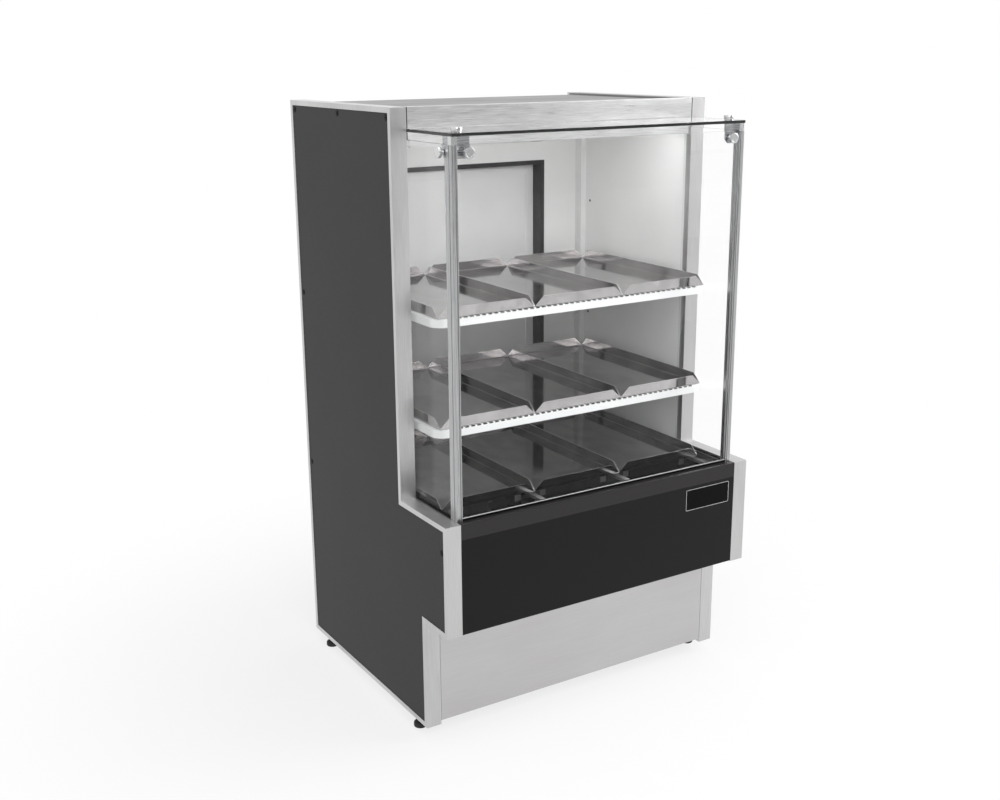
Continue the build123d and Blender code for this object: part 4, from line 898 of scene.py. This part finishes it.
# rear controls: window and keys of the thermostat, fixing screws of the service panel
thermostat = {
    "x": -265.0, "z": 266.0, "thick": 0.6,
    "window": (43.4, 23.4), "windowCorner": 1.0, "windowX": -12.0, "windowY": 340.35,
    "key": (8.6, 7.6), "keyCorner": 1.6, "keyEase": 0.25, "keyX": (19.0, 30.5), "keyY": 341.15,
    "keyZ": (-5.2, 5.2),
}
rear = bmesh.new()
window = plateShape(*thermostat["window"], thermostat["thick"], thermostat["windowCorner"])
place = facing((0, 1, 0), thermostat["x"] + thermostat["windowX"], thermostat["windowY"], thermostat["z"])
addTo(rear, window, place, 0)
window.free()
key = plateShape(*thermostat["key"], thermostat["thick"], thermostat["keyCorner"], thermostat["keyEase"])
for dx in thermostat["keyX"]:
    for dz in thermostat["keyZ"]:
        place = facing((0, 1, 0), thermostat["x"] + dx, thermostat["keyY"], thermostat["z"] + dz)
        addTo(rear, key, place, 1)
key.free()
newPiece("thermostat_window_and_keys", rear, "cabinet", ["displayWindow", "keyPad"])

serviceScrews = {
    "steps": 20, "faceY": 337.2, "x": 354.0, "heights": (48, 195, 342, 488), "topX": (-118, 118),
    "profile": [(0, -2), (1.8, -2), (1.8, 0.02), (3.9, 0.02), (4.0, 0.2), (3.8, 0.9), (3.1, 1.45),
                (2.0, 1.7), (1.2, 1.7), (1.2, 0.6), (0, 0.6)],
}
serviceSet = bmesh.new()
screw = spunShape(serviceScrews["profile"], serviceScrews["steps"])
places = [(side * serviceScrews["x"], z) for side in (-1, 1) for z in serviceScrews["heights"]]
places += [(x, max(serviceScrews["heights"])) for x in serviceScrews["topX"]]
for x, z in places:
    addTo(serviceSet, screw, facing((0, 1, 0), x, serviceScrews["faceY"], z))
screw.free()
newPiece("service_panel_screws", serviceSet, "cabinet", "fastenerZinc")
print("rear pieces made")


# studio

studio = {
    "sensor": 36, "lens": 45.154, "place": (-1.5375, -2.3863, 1.4443), "turn": (74.359, 0.364, -31.900),
    "surround": 0.45, "aimHeight": 0.7,
    "lamps": {
        "softboxFront": {"place": (-1.6, -3.4, 2.9), "size": 2.6, "power": 75},
        "softboxRight": {"place": (3.2, -1.6, 2.4), "size": 2.2, "power": 85},
        "softboxTop": {"place": (0.2, -0.4, 3.6), "size": 2.4, "power": 40},
    },
}
room = {"loss": 0.6, "dimmest": -0.82, "full": -0.5}  # metal mirrors a dimmer room on the front side
studioFloor = {"size": 9, "tone": 0.86, "haze": 0.75, "hazeFrom": 0.55, "hazeTo": 1.5}

cameraData = bpy.data.cameras.new("photoCamera")
cameraData.sensor_width = studio["sensor"]
cameraData.lens = studio["lens"]
camera = bpy.data.objects.new("photoCamera", cameraData)
camera.location = studio["place"]
camera.rotation_euler = [math.radians(a) for a in studio["turn"]]
bpy.context.scene.collection.objects.link(camera)
bpy.context.scene.camera = camera

for name, lamp in studio["lamps"].items():
    data = bpy.data.lights.new(name, "AREA")
    data.shape = "SQUARE"
    data.size = lamp["size"]
    data.energy = lamp["power"]
    light = bpy.data.objects.new(name, data)
    light.location = lamp["place"]
    aim = Vector((0, 0, studio["aimHeight"])) - light.location
    light.rotation_euler = aim.to_track_quat("-Z", "Y").to_euler()
    bpy.context.scene.collection.objects.link(light)


def seenDirectly(tree):
    path = addNode(tree, "ShaderNodeLightPath")
    direct = addNode(tree, "ShaderNodeMath", {"operation": "MAXIMUM"},
                     links={0: path.outputs["Is Camera Ray"], 1: path.outputs["Is Glossy Ray"]}).outputs[0]
    return addNode(tree, "ShaderNodeMath", {"operation": "MAXIMUM"},
                   links={0: direct, 1: path.outputs["Is Transmission Ray"]}).outputs[0]


world = bpy.data.worlds.new("studioSurround")
world.use_nodes = True
worldTree = world.node_tree
worldTree.nodes.clear()
look = addNode(worldTree, "ShaderNodeTexCoord").outputs["Generated"]
lookY = addNode(worldTree, "ShaderNodeSeparateXYZ", links={"Vector": look}).outputs["Y"]
loss = addNode(worldTree, "ShaderNodeMapRange", {"interpolation_type": "SMOOTHSTEP"},
               {"From Min": room["dimmest"], "From Max": room["full"], "To Min": -room["loss"],
                "To Max": 0.0},
               {"Value": lookY}).outputs["Result"]
bounces = addNode(worldTree, "ShaderNodeLightPath").outputs["Glossy Depth"]
mirrored = addNode(worldTree, "ShaderNodeMath", {"operation": "MINIMUM"}, {1: 1.0}, {0: bounces}).outputs[0]
strength = addNode(worldTree, "ShaderNodeMath", {"operation": "MULTIPLY_ADD"}, {2: 1.0},
                   {0: mirrored, 1: loss}).outputs[0]
white = (1, 1, 1, 1)
shown = addNode(worldTree, "ShaderNodeBackground", values={"Color": white}, links={"Strength": strength})
lit = addNode(worldTree, "ShaderNodeBackground", values={"Color": white, "Strength": studio["surround"]})
mixed = addNode(worldTree, "ShaderNodeMixShader",
                links={0: seenDirectly(worldTree), 1: lit.outputs[0], 2: shown.outputs[0]})
addNode(worldTree, "ShaderNodeOutputWorld", links={"Surface": mixed.outputs[0]})
bpy.context.scene.world = world

floorShape = bmesh.new()
bmesh.ops.create_grid(floorShape, x_segments=1, y_segments=1, size=studioFloor["size"])
floorMesh = bpy.data.meshes.new("studioFloor")
floorShape.to_mesh(floorMesh)
floorShape.free()
floor = bpy.data.objects.new("studioFloor", floorMesh)
bpy.context.scene.collection.objects.link(floor)
paper = bpy.data.materials.new("paleStudioPaper")
paper.use_nodes = True
paperTree = paper.node_tree
paperTree.nodes.clear()
matt = addNode(paperTree, "ShaderNodeBsdfDiffuse", values={"Color": (*[studioFloor["tone"]] * 3, 1)})
glow = addNode(paperTree, "ShaderNodeEmission", values={"Color": white, "Strength": 1.0})
spot = addNode(paperTree, "ShaderNodeTexCoord").outputs["Object"]
away = addNode(paperTree, "ShaderNodeVectorMath", {"operation": "LENGTH"}, links={0: spot}).outputs["Value"]
fade = addNode(paperTree, "ShaderNodeMapRange", {"interpolation_type": "SMOOTHSTEP"},
               {"From Min": studioFloor["hazeFrom"], "From Max": studioFloor["hazeTo"],
                "To Min": studioFloor["haze"], "To Max": 1.0},
               {"Value": away}).outputs["Result"]
haze = addNode(paperTree, "ShaderNodeMath", {"operation": "MULTIPLY"},
               links={0: seenDirectly(paperTree), 1: fade}).outputs[0]
paperMix = addNode(paperTree, "ShaderNodeMixShader",
                   links={0: haze, 1: matt.outputs[0], 2: glow.outputs[0]})
addNode(paperTree, "ShaderNodeOutputMaterial", links={"Surface": paperMix.outputs[0]})
floor.data.materials.append(paper)

bpy.context.scene.view_settings.view_transform = "Standard"
print("studio set")
